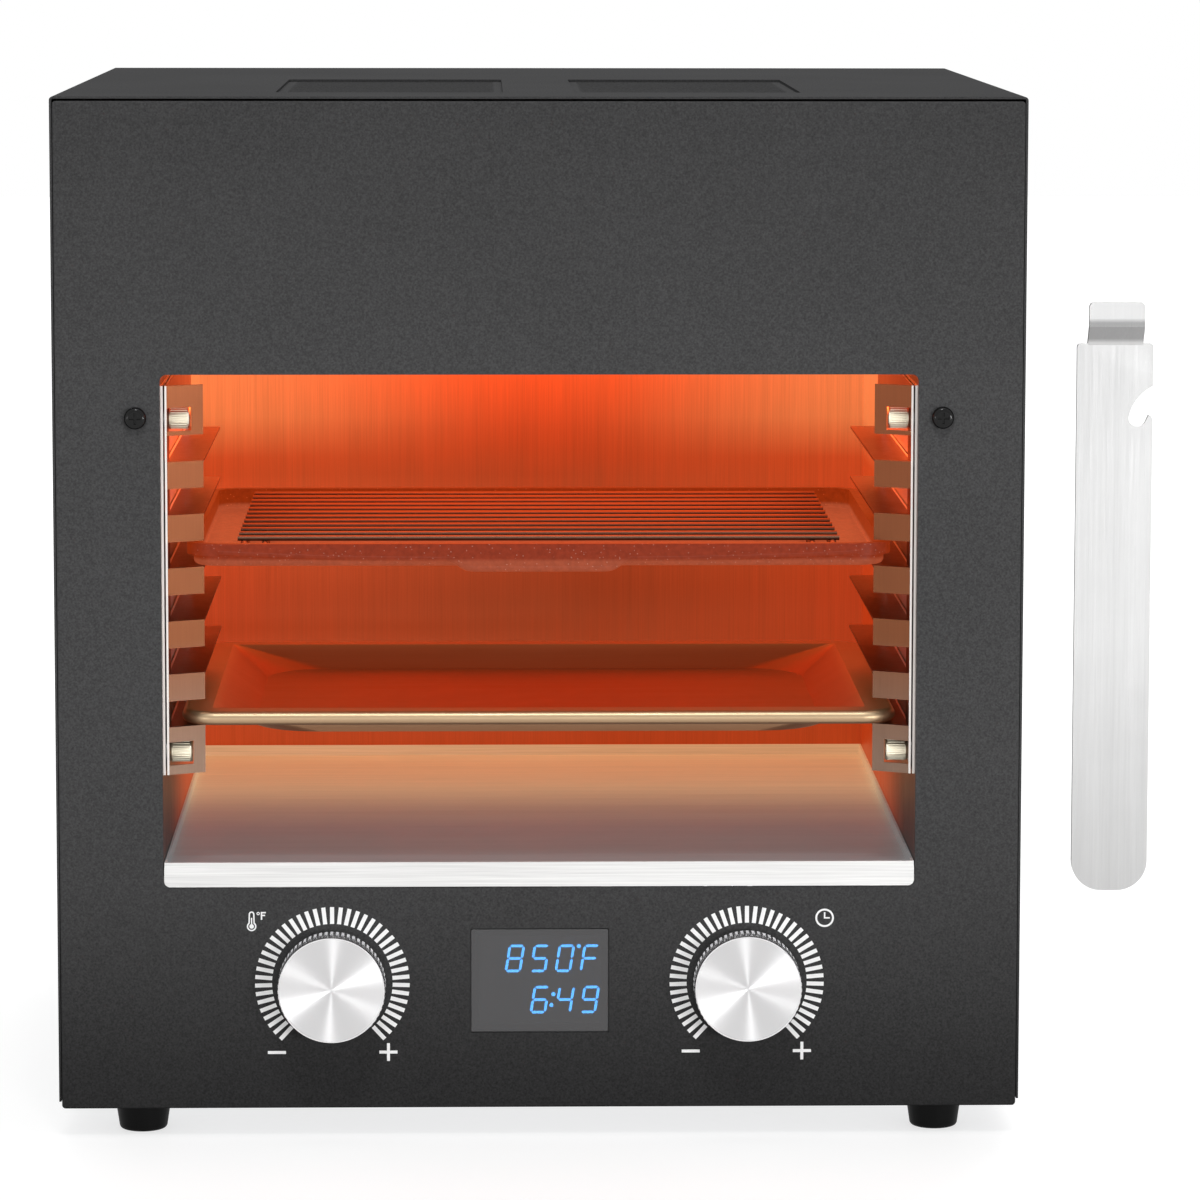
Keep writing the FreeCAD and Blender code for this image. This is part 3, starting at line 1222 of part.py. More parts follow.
def control_board():
    board = box(-BOARD_HALF_WIDTH, BOARD_HALF_WIDTH, BOARD_FRONT, BOARD_BACK, BOARD_BOTTOM,
                BOARD_BOTTOM + BOARD_HEIGHT)
    parts = [board]
    for x, size in ((-30.0, BOARD_CHIP), (30.0, BOARD_CHIP), (0.0, BOARD_CONNECTOR)):
        width, depth, height = size
        parts.append(box(x - width / 2, x + width / 2, BOARD_BACK - 0.5, BOARD_BACK + depth,
                         DISPLAY_Z - height / 2, DISPLAY_Z + height / 2))
    holes = [
        cylinder_y(x, z, STANDOFF_RADIUS - 0.9, BOARD_FRONT - 1, BOARD_BACK + 1) for x, z in BOARD_HOLES
    ]
    return cut(joined(parts), holes)


def board_standoffs():
    return group([
        cut(cylinder_y(x, z, STANDOFF_RADIUS, PANEL_BACK, BOARD_FRONT),
            [cylinder_y(x, z, 1.25, PANEL_BACK + 1, BOARD_FRONT + 1)])
        for x, z in BOARD_HOLES
    ])


def board_screws():
    screw = turned(pan_screw(5.0, radius=1.2, head_radius=2.6), vec(1, 0, 0), -90)
    return group([moved(screw, x, BOARD_BACK, z) for x, z in BOARD_HOLES])


# Power electronics and fan


def on_power_board(offset, size):
    """A block standing on the power board, placed from the board's centre."""
    x = POWER_BOARD_CENTRE[0] + offset[0]
    y = POWER_BOARD_CENTRE[1] + offset[1]
    z = BASE_THICKNESS + POWER_BOARD_LIFT + BOARD_THICKNESS
    return box(x - size[0] / 2, x + size[0] / 2, y - size[1] / 2, y + size[1] / 2, z, z + size[2])


def power_board_holes():
    inset = BOARD_HOLE_INSET
    half_w, half_l = POWER_BOARD_SIZE[0] / 2 - inset, POWER_BOARD_SIZE[1] / 2 - inset
    centre_x, centre_y = POWER_BOARD_CENTRE
    return [(centre_x + i * half_w, centre_y + k * half_l) for i in (-1, 1) for k in (-1, 1)]


def power_board():
    low = BASE_THICKNESS + POWER_BOARD_LIFT
    x, y = POWER_BOARD_CENTRE
    half_w, half_l = POWER_BOARD_SIZE[0] / 2, POWER_BOARD_SIZE[1] / 2
    board = box(x - half_w, x + half_w, y - half_l, y + half_l, low, low + BOARD_THICKNESS)
    return cut(board, [cylinder_z(px, py, 1.6, low - 1, low + 5) for px, py in power_board_holes()])


def power_board_standoffs():
    top = BASE_THICKNESS + POWER_BOARD_LIFT
    pegs = []
    for x, y in power_board_holes():
        column = cylinder_z(x, y, STANDOFF_RADIUS + 0.5, BASE_THICKNESS, top)
        peg = cylinder_z(x, y, 1.5, top - 1, top + BOARD_THICKNESS + 1.5)
        pegs.append(joined([column, peg]))
    return group(pegs)


def power_relay():
    return on_power_board(RELAY_OFFSET, RELAY_SIZE)


def power_transformer():
    core = on_power_board(TRANSFORMER_OFFSET, TRANSFORMER_SIZE)
    winding_size = (TRANSFORMER_SIZE[0] * 0.55, TRANSFORMER_SIZE[1] + 10, TRANSFORMER_SIZE[2] * 0.7)
    return joined([core, on_power_board(TRANSFORMER_OFFSET, winding_size)])


def heat_sink():
    block = on_power_board(HEAT_SINK_OFFSET, HEAT_SINK_SIZE)
    bounds = block.BoundBox
    pitch = HEAT_SINK_SIZE[0] / HEAT_SINK_FINS
    grooves = [
        box(bounds.XMin + pitch * (i + 0.35), bounds.XMin + pitch * (i + 0.95), bounds.YMin + 3,
            bounds.YMax + 1, bounds.ZMin - 1, bounds.ZMax + 1)
        for i in range(HEAT_SINK_FINS)
    ]
    return cut(block, grooves)


def terminal_block():
    x, y = TERMINAL_BLOCK_CENTRE
    width, depth, height = TERMINAL_BLOCK_SIZE
    block = box(x - width / 2, x + width / 2, y - depth / 2, y + depth / 2, BASE_THICKNESS,
                BASE_THICKNESS + height)
    pitch = width / TERMINAL_BLOCK_WELLS
    wells = [
        cylinder_z(x - width / 2 + pitch * (i + 0.5), y, 2.4, BASE_THICKNESS + height - 5,
                   BASE_THICKNESS + height + 1)
        for i in range(TERMINAL_BLOCK_WELLS)
    ]
    return cut(block, wells)


def fan_frame():
    back = REAR_PANEL_FRONT
    front = back - FAN_DEPTH
    half = FAN_SIZE / 2
    frame = rounded_slab(FAN_X - half, FAN_X + half, front, back, FAN_Z - half, FAN_Z + half, 4.0)
    duct = cylinder_y(FAN_X, FAN_Z, FAN_DUCT_RADIUS, front - 1, back + 1)
    motor = cylinder_y(FAN_X, FAN_Z, FAN_HUB_RADIUS, back - FAN_MOTOR_DEPTH, back)
    struts = []
    for index in range(2):
        bar = box(-FAN_DUCT_RADIUS - 1, FAN_DUCT_RADIUS + 1, back - FAN_MOTOR_DEPTH, back,
                  -FAN_STRUT_WIDTH / 2, FAN_STRUT_WIDTH / 2)
        struts.append(moved(turned(bar, vec(0, 1, 0), 45 + 90 * index), FAN_X, 0, FAN_Z))
    holes = [cylinder_y(x, z, SCREW_RADIUS + SCREW_HOLE_CLEARANCE, front - 1, back + 1) for x, z in FAN_HOLES]
    bearing = cylinder_y(FAN_X, FAN_Z, FAN_SHAFT_RADIUS + FAN_SHAFT_CLEARANCE, back - FAN_MOTOR_DEPTH - 1,
                         back - 0.4)
    return cut(joined([cut(frame, [duct]), motor, *struts]), holes + [bearing])


def fan_rotor():
    back = REAR_PANEL_FRONT - FAN_MOTOR_DEPTH - FAN_ROTOR_GAP
    front = REAR_PANEL_FRONT - FAN_DEPTH + FAN_ROTOR_GAP
    hub = cylinder_y(FAN_X, FAN_Z, FAN_HUB_RADIUS, front, back)
    shaft = cylinder_y(FAN_X, FAN_Z, FAN_SHAFT_RADIUS, back - 0.5, back + FAN_SHAFT_LENGTH)
    middle = (front + back) / 2
    room = cylinder_y(FAN_X, FAN_Z, FAN_BLADE_RADIUS, front, back)
    blades = []
    for index in range(FAN_BLADES):
        plate = box(FAN_HUB_RADIUS - 1, FAN_BLADE_RADIUS + 2, -6.5, 6.5, -FAN_BLADE_THICKNESS / 2,
                    FAN_BLADE_THICKNESS / 2)
        plate = turned(plate, vec(1, 0, 0), 90 - FAN_BLADE_TILT)
        plate = turned(plate, vec(0, 1, 0), 360 * index / FAN_BLADES)
        blades.append(moved(plate, FAN_X, middle, FAN_Z).common(room))
    return joined([hub, shaft, *blades])


def fan_screws():
    return group([screw_facing_rear(x, REAR, z, FAN_DEPTH + 2) for x, z in FAN_HOLES])


# Sensors and inner leads


def thermocouple():
    stem = cylinder_y(PROBE_X, PROBE_Z, PROBE_RADIUS, CAVITY_BACK - PROBE_REACH, LINER_BACK + PROBE_TAIL)
    collar = hexagon_y(PROBE_X, PROBE_Z, 2 * PROBE_COLLAR_RADIUS * 0.9, LINER_BACK, LINER_BACK + PROBE_COLLAR)
    return joined([stem, collar])


def thermal_cutout():
    disc = cylinder_y(CUTOUT_X, CUTOUT_Z, CUTOUT_RADIUS, LINER_BACK, LINER_BACK + CUTOUT_HEIGHT)
    tabs = [
        box(CUTOUT_X + side * CUTOUT_TAB_X - TERMINAL_THICKNESS / 2,
            CUTOUT_X + side * CUTOUT_TAB_X + TERMINAL_THICKNESS / 2, LINER_BACK + CUTOUT_HEIGHT - 1,
            LINER_BACK + CUTOUT_HEIGHT + CUTOUT_TAB_LENGTH, CUTOUT_Z - TERMINAL_WIDTH / 2,
            CUTOUT_Z + TERMINAL_WIDTH / 2)
        for side in (-1, 1)
    ]
    return joined([disc, *tabs])


def lead(points, radius=LEAD_RADIUS):
    """A round lead along straight runs joined by tangent arcs."""
    edges = []
    before = points[0]
    for start, corner, end in zip(points, points[1:], points[2:]):
        back = (start - corner).normalize()
        ahead = (end - corner).normalize()
        half_angle = back.getAngle(ahead) / 2
        shorter = min(corner.distanceToPoint(start), corner.distanceToPoint(end))
        reach = LEAD_BEND_SHARE * shorter
        bend = reach * math.tan(half_angle)
        first, last = corner + back * reach, corner + ahead * reach
        centre = corner + (back + ahead).normalize() * (bend / math.sin(half_angle))
        middle = centre + (corner - centre).normalize() * bend
        edges.append(Part.LineSegment(before, first).toShape())
        edges.append(Part.Arc(first, middle, last).toShape())
        before = last
    edges.append(Part.LineSegment(before, points[-1]).toShape())
    path = Part.Wire(edges)
    tube = swept_ring(path, radius)
    expected = math.pi * radius**2 * path.Length
    print("lead", round(path.Length, 1), "mm long, volume ratio", round(tube.Volume / expected, 4))
    return tube


def heater_leads():
    """One lead from each side's terminal strip, and one from the terminal block to the power board."""
    y = TUBE_DEPTHS[-1]
    tab_x = CAP_OUTER_X + TERMINAL_LENGTH
    turn_x = tab_x + 5
    block_x = TERMINAL_BLOCK_CENTRE[0]
    block_y = TERMINAL_BLOCK_CENTRE[1]
    block_end = block_x + TERMINAL_BLOCK_SIZE[0] / 2
    block_start = block_x - TERMINAL_BLOCK_SIZE[0] / 2
    low = BASE_THICKNESS + 8
    left = lead([
        vec(-tab_x, y, TUBE_Z), vec(-turn_x, y, TUBE_Z), vec(-turn_x, y + 14, 250), vec(-turn_x, y + 30, 150),
        vec(-turn_x, y + 70, 24), vec(block_start - 20, block_y, low), vec(block_start, block_y, low),
    ])
    right = lead([
        vec(tab_x, y, TUBE_Z), vec(turn_x, y, TUBE_Z), vec(turn_x, y + 14, 250), vec(turn_x, y + 30, 150),
        vec(turn_x - 4, y + 60, 24), vec(130, 130, low), vec(20, 135, low), vec(block_end + 24, block_y, low),
        vec(block_end, block_y, low),
    ])
    board_z = BASE_THICKNESS + POWER_BOARD_LIFT + BOARD_THICKNESS / 2
    board_y = POWER_BOARD_CENTRE[1] + POWER_BOARD_SIZE[1] / 2
    block_front = block_y - TERMINAL_BLOCK_SIZE[1] / 2
    link = lead([vec(block_x, block_front, board_z), vec(block_x, board_y, board_z)])
    return group([left, right, link])


def signal_leads():
    """Thin leads of the control board, the fan, the thermocouple and the thermal cut-out."""
    start_y = BOARD_BACK + BOARD_CONNECTOR[1]
    front_edge = POWER_BOARD_CENTRE[1] - POWER_BOARD_SIZE[1] / 2
    side_edge = POWER_BOARD_CENTRE[0] + POWER_BOARD_SIZE[0] / 2
    board_z = BASE_THICKNESS + POWER_BOARD_LIFT + BOARD_THICKNESS / 2
    control = lead([
        vec(0, start_y, DISPLAY_Z), vec(0, start_y + 22, DISPLAY_Z), vec(-10, start_y + 50, 22),
        vec(-40, front_edge - 60, 12), vec(-60, front_edge - 20, board_z), vec(-60, front_edge, board_z),
    ])
    fan_edge = FAN_X - FAN_SIZE / 2
    fan_y = REAR_PANEL_FRONT - FAN_DEPTH / 2
    fan = lead([
        vec(fan_edge, fan_y, 30), vec(fan_edge - 14, fan_y, 30), vec(20, 120, 16),
        vec(side_edge + 16, 80, board_z), vec(side_edge, 80, board_z),
    ])
    probe_end = LINER_BACK + PROBE_TAIL
    probe = lead([
        vec(PROBE_X, probe_end, PROBE_Z), vec(PROBE_X, probe_end + 14, PROBE_Z), vec(40, 142, 240),
        vec(20, 142, 100), vec(14, 120, 30), vec(side_edge + 12, 95, board_z), vec(side_edge, 95, board_z),
    ])
    tab_x, tab_end = CUTOUT_X - CUTOUT_TAB_X, LINER_BACK + CUTOUT_HEIGHT + CUTOUT_TAB_LENGTH
    rear_edge = POWER_BOARD_CENTRE[1] + POWER_BOARD_SIZE[1] / 2
    cutout = lead([
        vec(tab_x, tab_end, CUTOUT_Z), vec(tab_x, tab_end + 12, CUTOUT_Z), vec(tab_x, 138, 200),
        vec(CUTOUT_X, 140, 90), vec(CUTOUT_X + 5, 134, 30), vec(CUTOUT_X + 5, 130, board_z),
        vec(CUTOUT_X + 5, rear_edge, board_z),
    ])
    return group([control, fan, probe, cutout])


# Tray handle


def tray_handle():
    """An upright strip seen face on: a blade with a hook notch and a stepped tongue at its top."""
    left = HANDLE_X - HANDLE_WIDTH / 2
    width, thick = HANDLE_WIDTH, HANDLE_THICKNESS

    def place(u, v, rise=0):
        return vec(left + u, HANDLE_BACK - rise, HANDLE_BOTTOM + v)

    def line(start, end):
        return Part.LineSegment(start, end).toShape()

    def arc(start, middle, end):
        return Part.Arc(start, middle, end).toShape()

    radius = HANDLE_END_RADIUS
    bow = radius * (1 - math.sqrt(0.5))
    blade = Part.Face(Part.Wire([
        line(place(radius, 0), place(width - radius, 0)),
        arc(place(width - radius, 0), place(width - bow, bow), place(width, radius)),
        line(place(width, radius), place(width, HANDLE_BLADE)),
        line(place(width, HANDLE_BLADE), place(0, HANDLE_BLADE)),
        line(place(0, HANDLE_BLADE), place(0, radius)),
        arc(place(0, radius), place(bow, bow), place(radius, 0)),
    ])).extrude(vec(0, -thick, 0))
    shoulders = [
        e for e in blade.Edges
        if e.BoundBox.YLength > thick / 2 and e.BoundBox.ZMin > HANDLE_BOTTOM + HANDLE_BLADE - 1e-6
    ]
    blade = blade.makeFillet(HANDLE_SHOULDER_RADIUS, shoulders)

    behind = -1
    notch_x, notch_y = NOTCH_CENTRE
    tip_x, tip_y = NOTCH_TIP
    start = place(width, NOTCH_START, behind)
    left_end = place(notch_x - NOTCH_RADIUS, notch_y, behind)
    right_end = place(notch_x + NOTCH_RADIUS * math.cos(0.5), notch_y - NOTCH_RADIUS * math.sin(0.5), behind)
    tip = place(tip_x, tip_y, behind)
    tip_bow = place((tip_x + width) / 2 + 0.45, (tip_y + NOTCH_TIP_END) / 2 + 0.45, behind)
    tip_end = place(width, NOTCH_TIP_END, behind)
    outside_low = place(width + 3, NOTCH_TIP_END, behind)
    outside_high = place(width + 3, NOTCH_START, behind)
    notch = Part.Face(Part.Wire([
        arc(start, place(*NOTCH_SWEEP, behind), left_end),
        arc(left_end, place(notch_x, notch_y - NOTCH_RADIUS, behind), right_end),
        line(right_end, tip),
        arc(tip, tip_bow, tip_end),
        line(tip_end, outside_low),
        line(outside_low, outside_high),
        line(outside_high, start),
    ])).extrude(vec(0, -thick - 3, 0))

    bend = HANDLE_BLADE
    far = bend + TONGUE_SLOPE_RUN
    end = far + TONGUE_LIP
    root = bend - TONGUE_ROOT
    shift = thick * math.tan(math.atan2(TONGUE_RISE, TONGUE_SLOPE_RUN) / 2)
    inset = (width - TONGUE_WIDTH) / 2
    profile = [
        (root, 0), (bend, 0), (far, TONGUE_RISE), (end, TONGUE_RISE), (end, TONGUE_RISE + thick),
        (far - shift, TONGUE_RISE + thick), (bend - shift, thick), (root, thick),
    ]
    tongue = prism([place(inset, v, rise) for v, rise in profile], vec(TONGUE_WIDTH, 0, 0))
    corners = [
        e for e in tongue.Edges
        if abs(e.BoundBox.YLength - thick) < 1e-6 and e.BoundBox.ZMin > HANDLE_BOTTOM + end - 1e-6
    ]
    tongue = tongue.makeFillet(TONGUE_CORNER, corners)
    return cut(joined([blade, tongue]), [notch])


PIECES = {
    "outer_wrap": outer_wrap,
    "front_panel": front_panel,
    "rear_panel": rear_panel,
    "base_plate": base_plate,
    "rubber_feet": rubber_feet,
    "foot_screws": foot_screws,
    "front_screws": front_screws,
    "rear_screws": rear_screws,
    "cord_gland": cord_gland,
    "cavity_liner": cavity_liner,
    "cavity_floor": cavity_floor,
    "cavity_supports": cavity_supports,
    "heater_reflector": heater_reflector,
    "quartz_tubes": quartz_tubes,
    "heater_filaments": heater_filaments,
    "tube_end_caps": tube_end_caps,
    "tube_terminals": tube_terminals,
    "tube_brackets": lambda: group([tube_bracket(side) for side in (-1, 1)]),
    "top_insulation": top_insulation,
    "back_insulation": back_insulation,
    "side_insulation": lambda: group([side_insulation(side) for side in (-1, 1)]),
    "right_rack": right_rack,
    "left_rack": left_rack,
    "rack_bolts": lambda: rack_fasteners(rack_bolt),
    "rack_spacers": lambda: rack_fasteners(rack_spacer),
    "rack_nuts": lambda: rack_fasteners(rack_nut),
    "upper_tray": upper_tray,
    "wire_grill": wire_grill,
    "lower_tray": lower_tray,
    "drip_tray": drip_tray,
    "knob_encoders": lambda: group([knob_encoder(side) for side in (-1, 1)]),
    "encoder_nuts": encoder_nuts,
    "display_window": display_window,
    "display_holder": display_holder,
    "display_module": display_module,
    "control_board": control_board,
    "board_standoffs": board_standoffs,
    "board_screws": board_screws,
    "power_board": power_board,
    "power_board_standoffs": power_board_standoffs,
    "power_relay": power_relay,
    "power_transformer": power_transformer,
    "heat_sink": heat_sink,
    "terminal_block": terminal_block,
    "fan_frame": fan_frame,
    "fan_rotor": fan_rotor,
    "fan_screws": fan_screws,
    "thermocouple": thermocouple,
    "thermal_cutout": thermal_cutout,
    "heater_leads": heater_leads,
    "signal_leads": signal_leads,
    "tray_handle": tray_handle,
}
KNOB_PIECES = {
    "knob_body": knob_body,
    "knob_face": knob_face,
    "knob_shaft": knob_shaft,
    "push_contact": push_contact,
}


def export(name, shape):
    if not shape.isValid():
        raise ValueError(name + " is not a valid shape")
    shape.exportStep("parts/" + name + ".step")
    print(name, "solids", len(shape.Solids), "volume", round(shape.Volume / 1000, 2), "cm3")


def main():
    os.makedirs("parts", exist_ok=True)
    for name, make in PIECES.items():
        export(name, make())
    for name, make in KNOB_PIECES.items():
        for word, side in (("temperature", -1), ("time", 1)):
            export(word + "_" + name, make(side))


main()
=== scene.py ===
import math

import bmesh
import bpy
from mathutils import Euler, Matrix, Vector


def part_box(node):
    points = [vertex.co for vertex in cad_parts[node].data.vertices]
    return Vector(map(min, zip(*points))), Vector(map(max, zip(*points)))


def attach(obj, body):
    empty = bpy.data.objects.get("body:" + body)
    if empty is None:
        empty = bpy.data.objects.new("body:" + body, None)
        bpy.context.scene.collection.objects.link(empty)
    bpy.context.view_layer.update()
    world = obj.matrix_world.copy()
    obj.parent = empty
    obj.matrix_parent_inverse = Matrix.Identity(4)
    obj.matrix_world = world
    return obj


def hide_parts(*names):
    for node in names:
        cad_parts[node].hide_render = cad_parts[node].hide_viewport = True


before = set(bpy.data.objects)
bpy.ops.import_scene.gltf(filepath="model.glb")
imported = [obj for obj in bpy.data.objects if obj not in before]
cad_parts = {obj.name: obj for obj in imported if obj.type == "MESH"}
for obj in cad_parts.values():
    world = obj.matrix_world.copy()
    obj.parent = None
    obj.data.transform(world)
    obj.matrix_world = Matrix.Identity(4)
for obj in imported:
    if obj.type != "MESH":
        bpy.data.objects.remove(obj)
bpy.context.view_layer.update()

bl_info = {
    "name": "Infrared steak grill",
    "version": (1, 0, 0),
    "blender": (4, 5, 0),
    "location": "View3D > Sidebar > Grill",
    "description": "Finishes and fine pieces of a countertop infrared steak grill",
    "category": "Object",
}

MM = 0.001


# Settings that a user would change


class CoatSettings(bpy.types.PropertyGroup):
    """The powder coat of the cabinet."""

    colour: bpy.props.FloatVectorProperty(
        name="Coat colour", description="Colour of the powder coat", subtype="COLOR",
        size=3, min=0, max=1, default=(0.066, 0.066, 0.067),
    )
    roughness: bpy.props.FloatProperty(
        name="Coat roughness", description="How matt the powder coat is", min=0, max=1, default=0.78,
    )
    grain: bpy.props.FloatProperty(
        name="Grains per metre", description="Fineness of the coat's texture", min=100, default=1500,
    )


class SteelSettings(bpy.types.PropertyGroup):
    """The stainless sheet of the cavity, racks and trays."""

    # Painted highlight colour for the racks' bright front edges.
    painted_edge_highlight: bpy.props.FloatVectorProperty(
        name="Painted edge highlight colour", description="Colour of the painted highlight on the racks' front edges", subtype="COLOR",
        size=3, min=0, max=1, default=(0.82, 0.77, 0.73),
    )
    line_scale: bpy.props.FloatProperty(
        name="Brush lines per metre", description="Fineness of the brush lines", min=100, default=2600,
    )


class HeatSettings(bpy.types.PropertyGroup):
    """The heater, and the painted red glow on the cavity's walls."""

    # Strength of the painted glow that stands in for the heater's light on the walls.
    painted_wall_glow: bpy.props.FloatProperty(
        name="Painted wall glow", description="Strength of the painted glow on the cavity walls", min=0, default=0.84,
    )
    wire_strength: bpy.props.FloatProperty(
        name="Wire glow", description="Strength of the glow of the heating wire", min=0, default=6.0,
    )
    coil_pitch: bpy.props.FloatProperty(
        name="Coil pitch", description="Distance between two turns of the heating wire",
        subtype="DISTANCE", unit="LENGTH", default=2.4 * MM,
    )
    coil_radius: bpy.props.FloatProperty(
        name="Coil radius", description="Radius of the heating wire's turns",
        subtype="DISTANCE", unit="LENGTH", default=1.25 * MM,
    )
    wire_radius: bpy.props.FloatProperty(
        name="Wire radius", description="Radius of the heating wire", subtype="DISTANCE",
        unit="LENGTH", default=0.3 * MM,
    )


class PrintSettings(bpy.types.PropertyGroup):
    """The printed scales round the knobs and the signs beside them."""

    ticks: bpy.props.IntProperty(
        name="Ticks", description="Number of ticks in a ring", min=3, default=43,
    )
    sweep: bpy.props.FloatProperty(
        name="Sweep", description="Angle from the first tick to the last", subtype="ANGLE",
        unit="ROTATION", default=math.radians(275),
    )
    inner: bpy.props.FloatProperty(
        name="Inner radius", description="Inner radius of the ring of ticks", subtype="DISTANCE",
        unit="LENGTH", default=21.9 * MM,
    )
    outer: bpy.props.FloatProperty(
        name="Outer radius", description="Outer radius of the ring of ticks", subtype="DISTANCE",
        unit="LENGTH", default=28.1 * MM,
    )
    width: bpy.props.FloatProperty(
        name="Tick width", description="Width of a tick", subtype="DISTANCE", unit="LENGTH",
        default=1.5 * MM,
    )
    colour: bpy.props.FloatVectorProperty(
        name="Ink colour", description="Colour of the printed marks", subtype="COLOR",
        size=3, min=0, max=1, default=(0.92, 0.92, 0.92),
    )


class DisplaySettings(bpy.types.PropertyGroup):
    """The lit digits behind the window."""

    upper_row: bpy.props.StringProperty(
        name="Upper row", description="What the upper row of digits shows", default="850F",
    )
    lower_row: bpy.props.StringProperty(
        name="Lower row", description="What the lower row of digits shows", default=" 649",
    )
    digit_height: bpy.props.FloatProperty(
        name="Digit height", description="Height of a digit", subtype="DISTANCE", unit="LENGTH",
        default=10.2 * MM,
    )
    digit_width: bpy.props.FloatProperty(
        name="Digit width", description="Width of a digit", subtype="DISTANCE", unit="LENGTH",
        default=6.0 * MM,
    )
    stroke: bpy.props.FloatProperty(
        name="Segment width", description="Width of a segment", subtype="DISTANCE", unit="LENGTH",
        default=0.95 * MM,
    )
    slant: bpy.props.FloatProperty(
        name="Slant", description="Lean of the digits", subtype="ANGLE", unit="ROTATION",
        default=math.radians(9),
    )
    colour: bpy.props.FloatVectorProperty(
        name="Digit colour", description="Colour of the lit segments", subtype="COLOR",
        size=3, min=0, max=1, default=(0.055, 0.38, 1.0),
    )


class StageSettings(bpy.types.PropertyGroup):
    """The floor, lamps and camera."""

    floor_level: bpy.props.FloatProperty(
        name="Floor level", description="Height of the floor", subtype="DISTANCE", unit="LENGTH",
        default=-11 * MM,
    )
    camera_place: bpy.props.FloatVectorProperty(
        name="Camera place", description="Where the camera stands", subtype="TRANSLATION",
        unit="LENGTH", size=3, default=(-0.0216, -2.0361, 0.4362),
    )
    pitch: bpy.props.FloatProperty(
        name="Camera pitch", description="How far the camera looks down", subtype="ANGLE",
        unit="ROTATION", default=math.radians(6.541),
    )
    yaw: bpy.props.FloatProperty(
        name="Camera yaw", description="How far the camera looks to the right", subtype="ANGLE",
        unit="ROTATION", default=math.radians(1.326),
    )
    roll: bpy.props.FloatProperty(
        name="Camera roll", description="How far the camera leans to its left", subtype="ANGLE",
        unit="ROTATION", default=math.radians(0.083),
    )
    lens: bpy.props.FloatProperty(
        name="Focal length", description="Focal length in millimetres on a 36 mm sensor",
        subtype="DISTANCE_CAMERA", min=1, default=156.849,
    )
    shift: bpy.props.FloatProperty(
        name="Camera shift", description="Vertical shift of the lens", default=-0.08,
    )


SETTINGS = {
    "grill_coat": CoatSettings,
    "grill_steel": SteelSettings,
    "grill_heat": HeatSettings,
    "grill_print": PrintSettings,
    "grill_display": DisplaySettings,
    "grill_stage": StageSettings,
}


# Shader helpers


def place(tree, kind, inputs=None, **settings):
    """A new shader node. Its inputs are plain values or another node's output."""
    made = tree.nodes.new("ShaderNode" + kind)
    for name, value in settings.items():
        setattr(made, name, value)
    for name, value in (inputs or {}).items():
        socket = made.inputs[name]
        if isinstance(value, bpy.types.NodeSocket):
            tree.links.new(value, socket)
        else:
            socket.default_value = value
    return made


def math_node(tree, operation, *values):
    return place(tree, "Math", dict(enumerate(values)), operation=operation).outputs["Value"]


def vector_node(tree, operation, *values):
    made = place(tree, "VectorMath", dict(enumerate(values)), operation=operation)
    return made.outputs["Value" if operation in ("LENGTH", "DOT_PRODUCT") else "Vector"]


def ramp(tree, factor, stops):
    """A colour ramp with (position, colour) stops; a plain number is a grey."""
    made = place(tree, "ValToRGB", {"Fac": factor})
    elements = made.color_ramp.elements
    while len(elements) < len(stops):
        elements.new(0.5)
    for element, (position, colour) in zip(elements, stops):
        element.position = position
        element.color = (colour, colour, colour, 1) if isinstance(colour, (int, float)) else (*colour, 1)
    return made.outputs["Color"]


def mix_colour(tree, factor, first, second):
    """A colour mix: first at factor 0 and second at 1."""
    # The mix node's colour sockets share their names with its other kinds, so numbers tell them apart.
    first, second = (
        value if isinstance(value, bpy.types.NodeSocket) else (*value, 1) for value in (first, second)
    )
    return place(tree, "Mix", {0: factor, 6: first, 7: second}, data_type="RGBA").outputs[2]


def start_group(name, inputs, outputs):
    """An empty node group with (label, socket kind, default) inputs and (label, kind) outputs."""
    group = bpy.data.node_groups.new(name, "ShaderNodeTree")
    for label, kind, default in inputs:
        socket = group.interface.new_socket(label, in_out="INPUT", socket_type="NodeSocket" + kind)
        socket.default_value = default
    for label, kind in outputs:
        group.interface.new_socket(label, in_out="OUTPUT", socket_type="NodeSocket" + kind)
    entry = group.nodes.new("NodeGroupInput")
    leave = group.nodes.new("NodeGroupOutput")
    return group, entry.outputs, leave.inputs


def object_place(tree):
    return place(tree, "TexCoord").outputs["Object"]


def object_axis(tree, axis):
    return place(tree, "SeparateXYZ", {"Vector": object_place(tree)}).outputs[axis]


def off_middle(tree, noise, spread=1.0):
    """A noise of 0 to 1 turned into a swing to both sides of 0."""
    return math_node(tree, "MULTIPLY", math_node(tree, "SUBTRACT", noise, 0.5), spread)


def coat_grain():
    """The fine pimpled grain of powder coat, moulded plastic and enamel."""
    group, given, wanted = start_group(
        "Coat grain",
        [("Grains per metre", "Float", 1500), ("Mottling", "Float", 0.15)],
        [("Tone", "Float"), ("Height", "Float"), ("Roughness shift", "Float")],
    )
    here = object_place(group)
    fine = place(group, "TexNoise", {
        "Vector": here, "Scale": given["Grains per metre"], "Detail": 2.0, "Roughness": 0.6,
    }).outputs["Fac"]
    coarse_scale = math_node(group, "MULTIPLY", given["Grains per metre"], 0.012)
    coarse = place(group, "TexNoise", {
        "Vector": here, "Scale": coarse_scale, "Detail": 3.0, "Roughness": 0.5,
    }).outputs["Fac"]
    quick = off_middle(group, fine, given["Mottling"])
    slow = off_middle(group, coarse, math_node(group, "MULTIPLY", given["Mottling"], 0.12))
    tone = math_node(group, "ADD", math_node(group, "ADD", quick, slow), 1.0)
    group.links.new(tone, wanted["Tone"])
    group.links.new(fine, wanted["Height"])
    group.links.new(off_middle(group, coarse, 0.16), wanted["Roughness shift"])
    return group


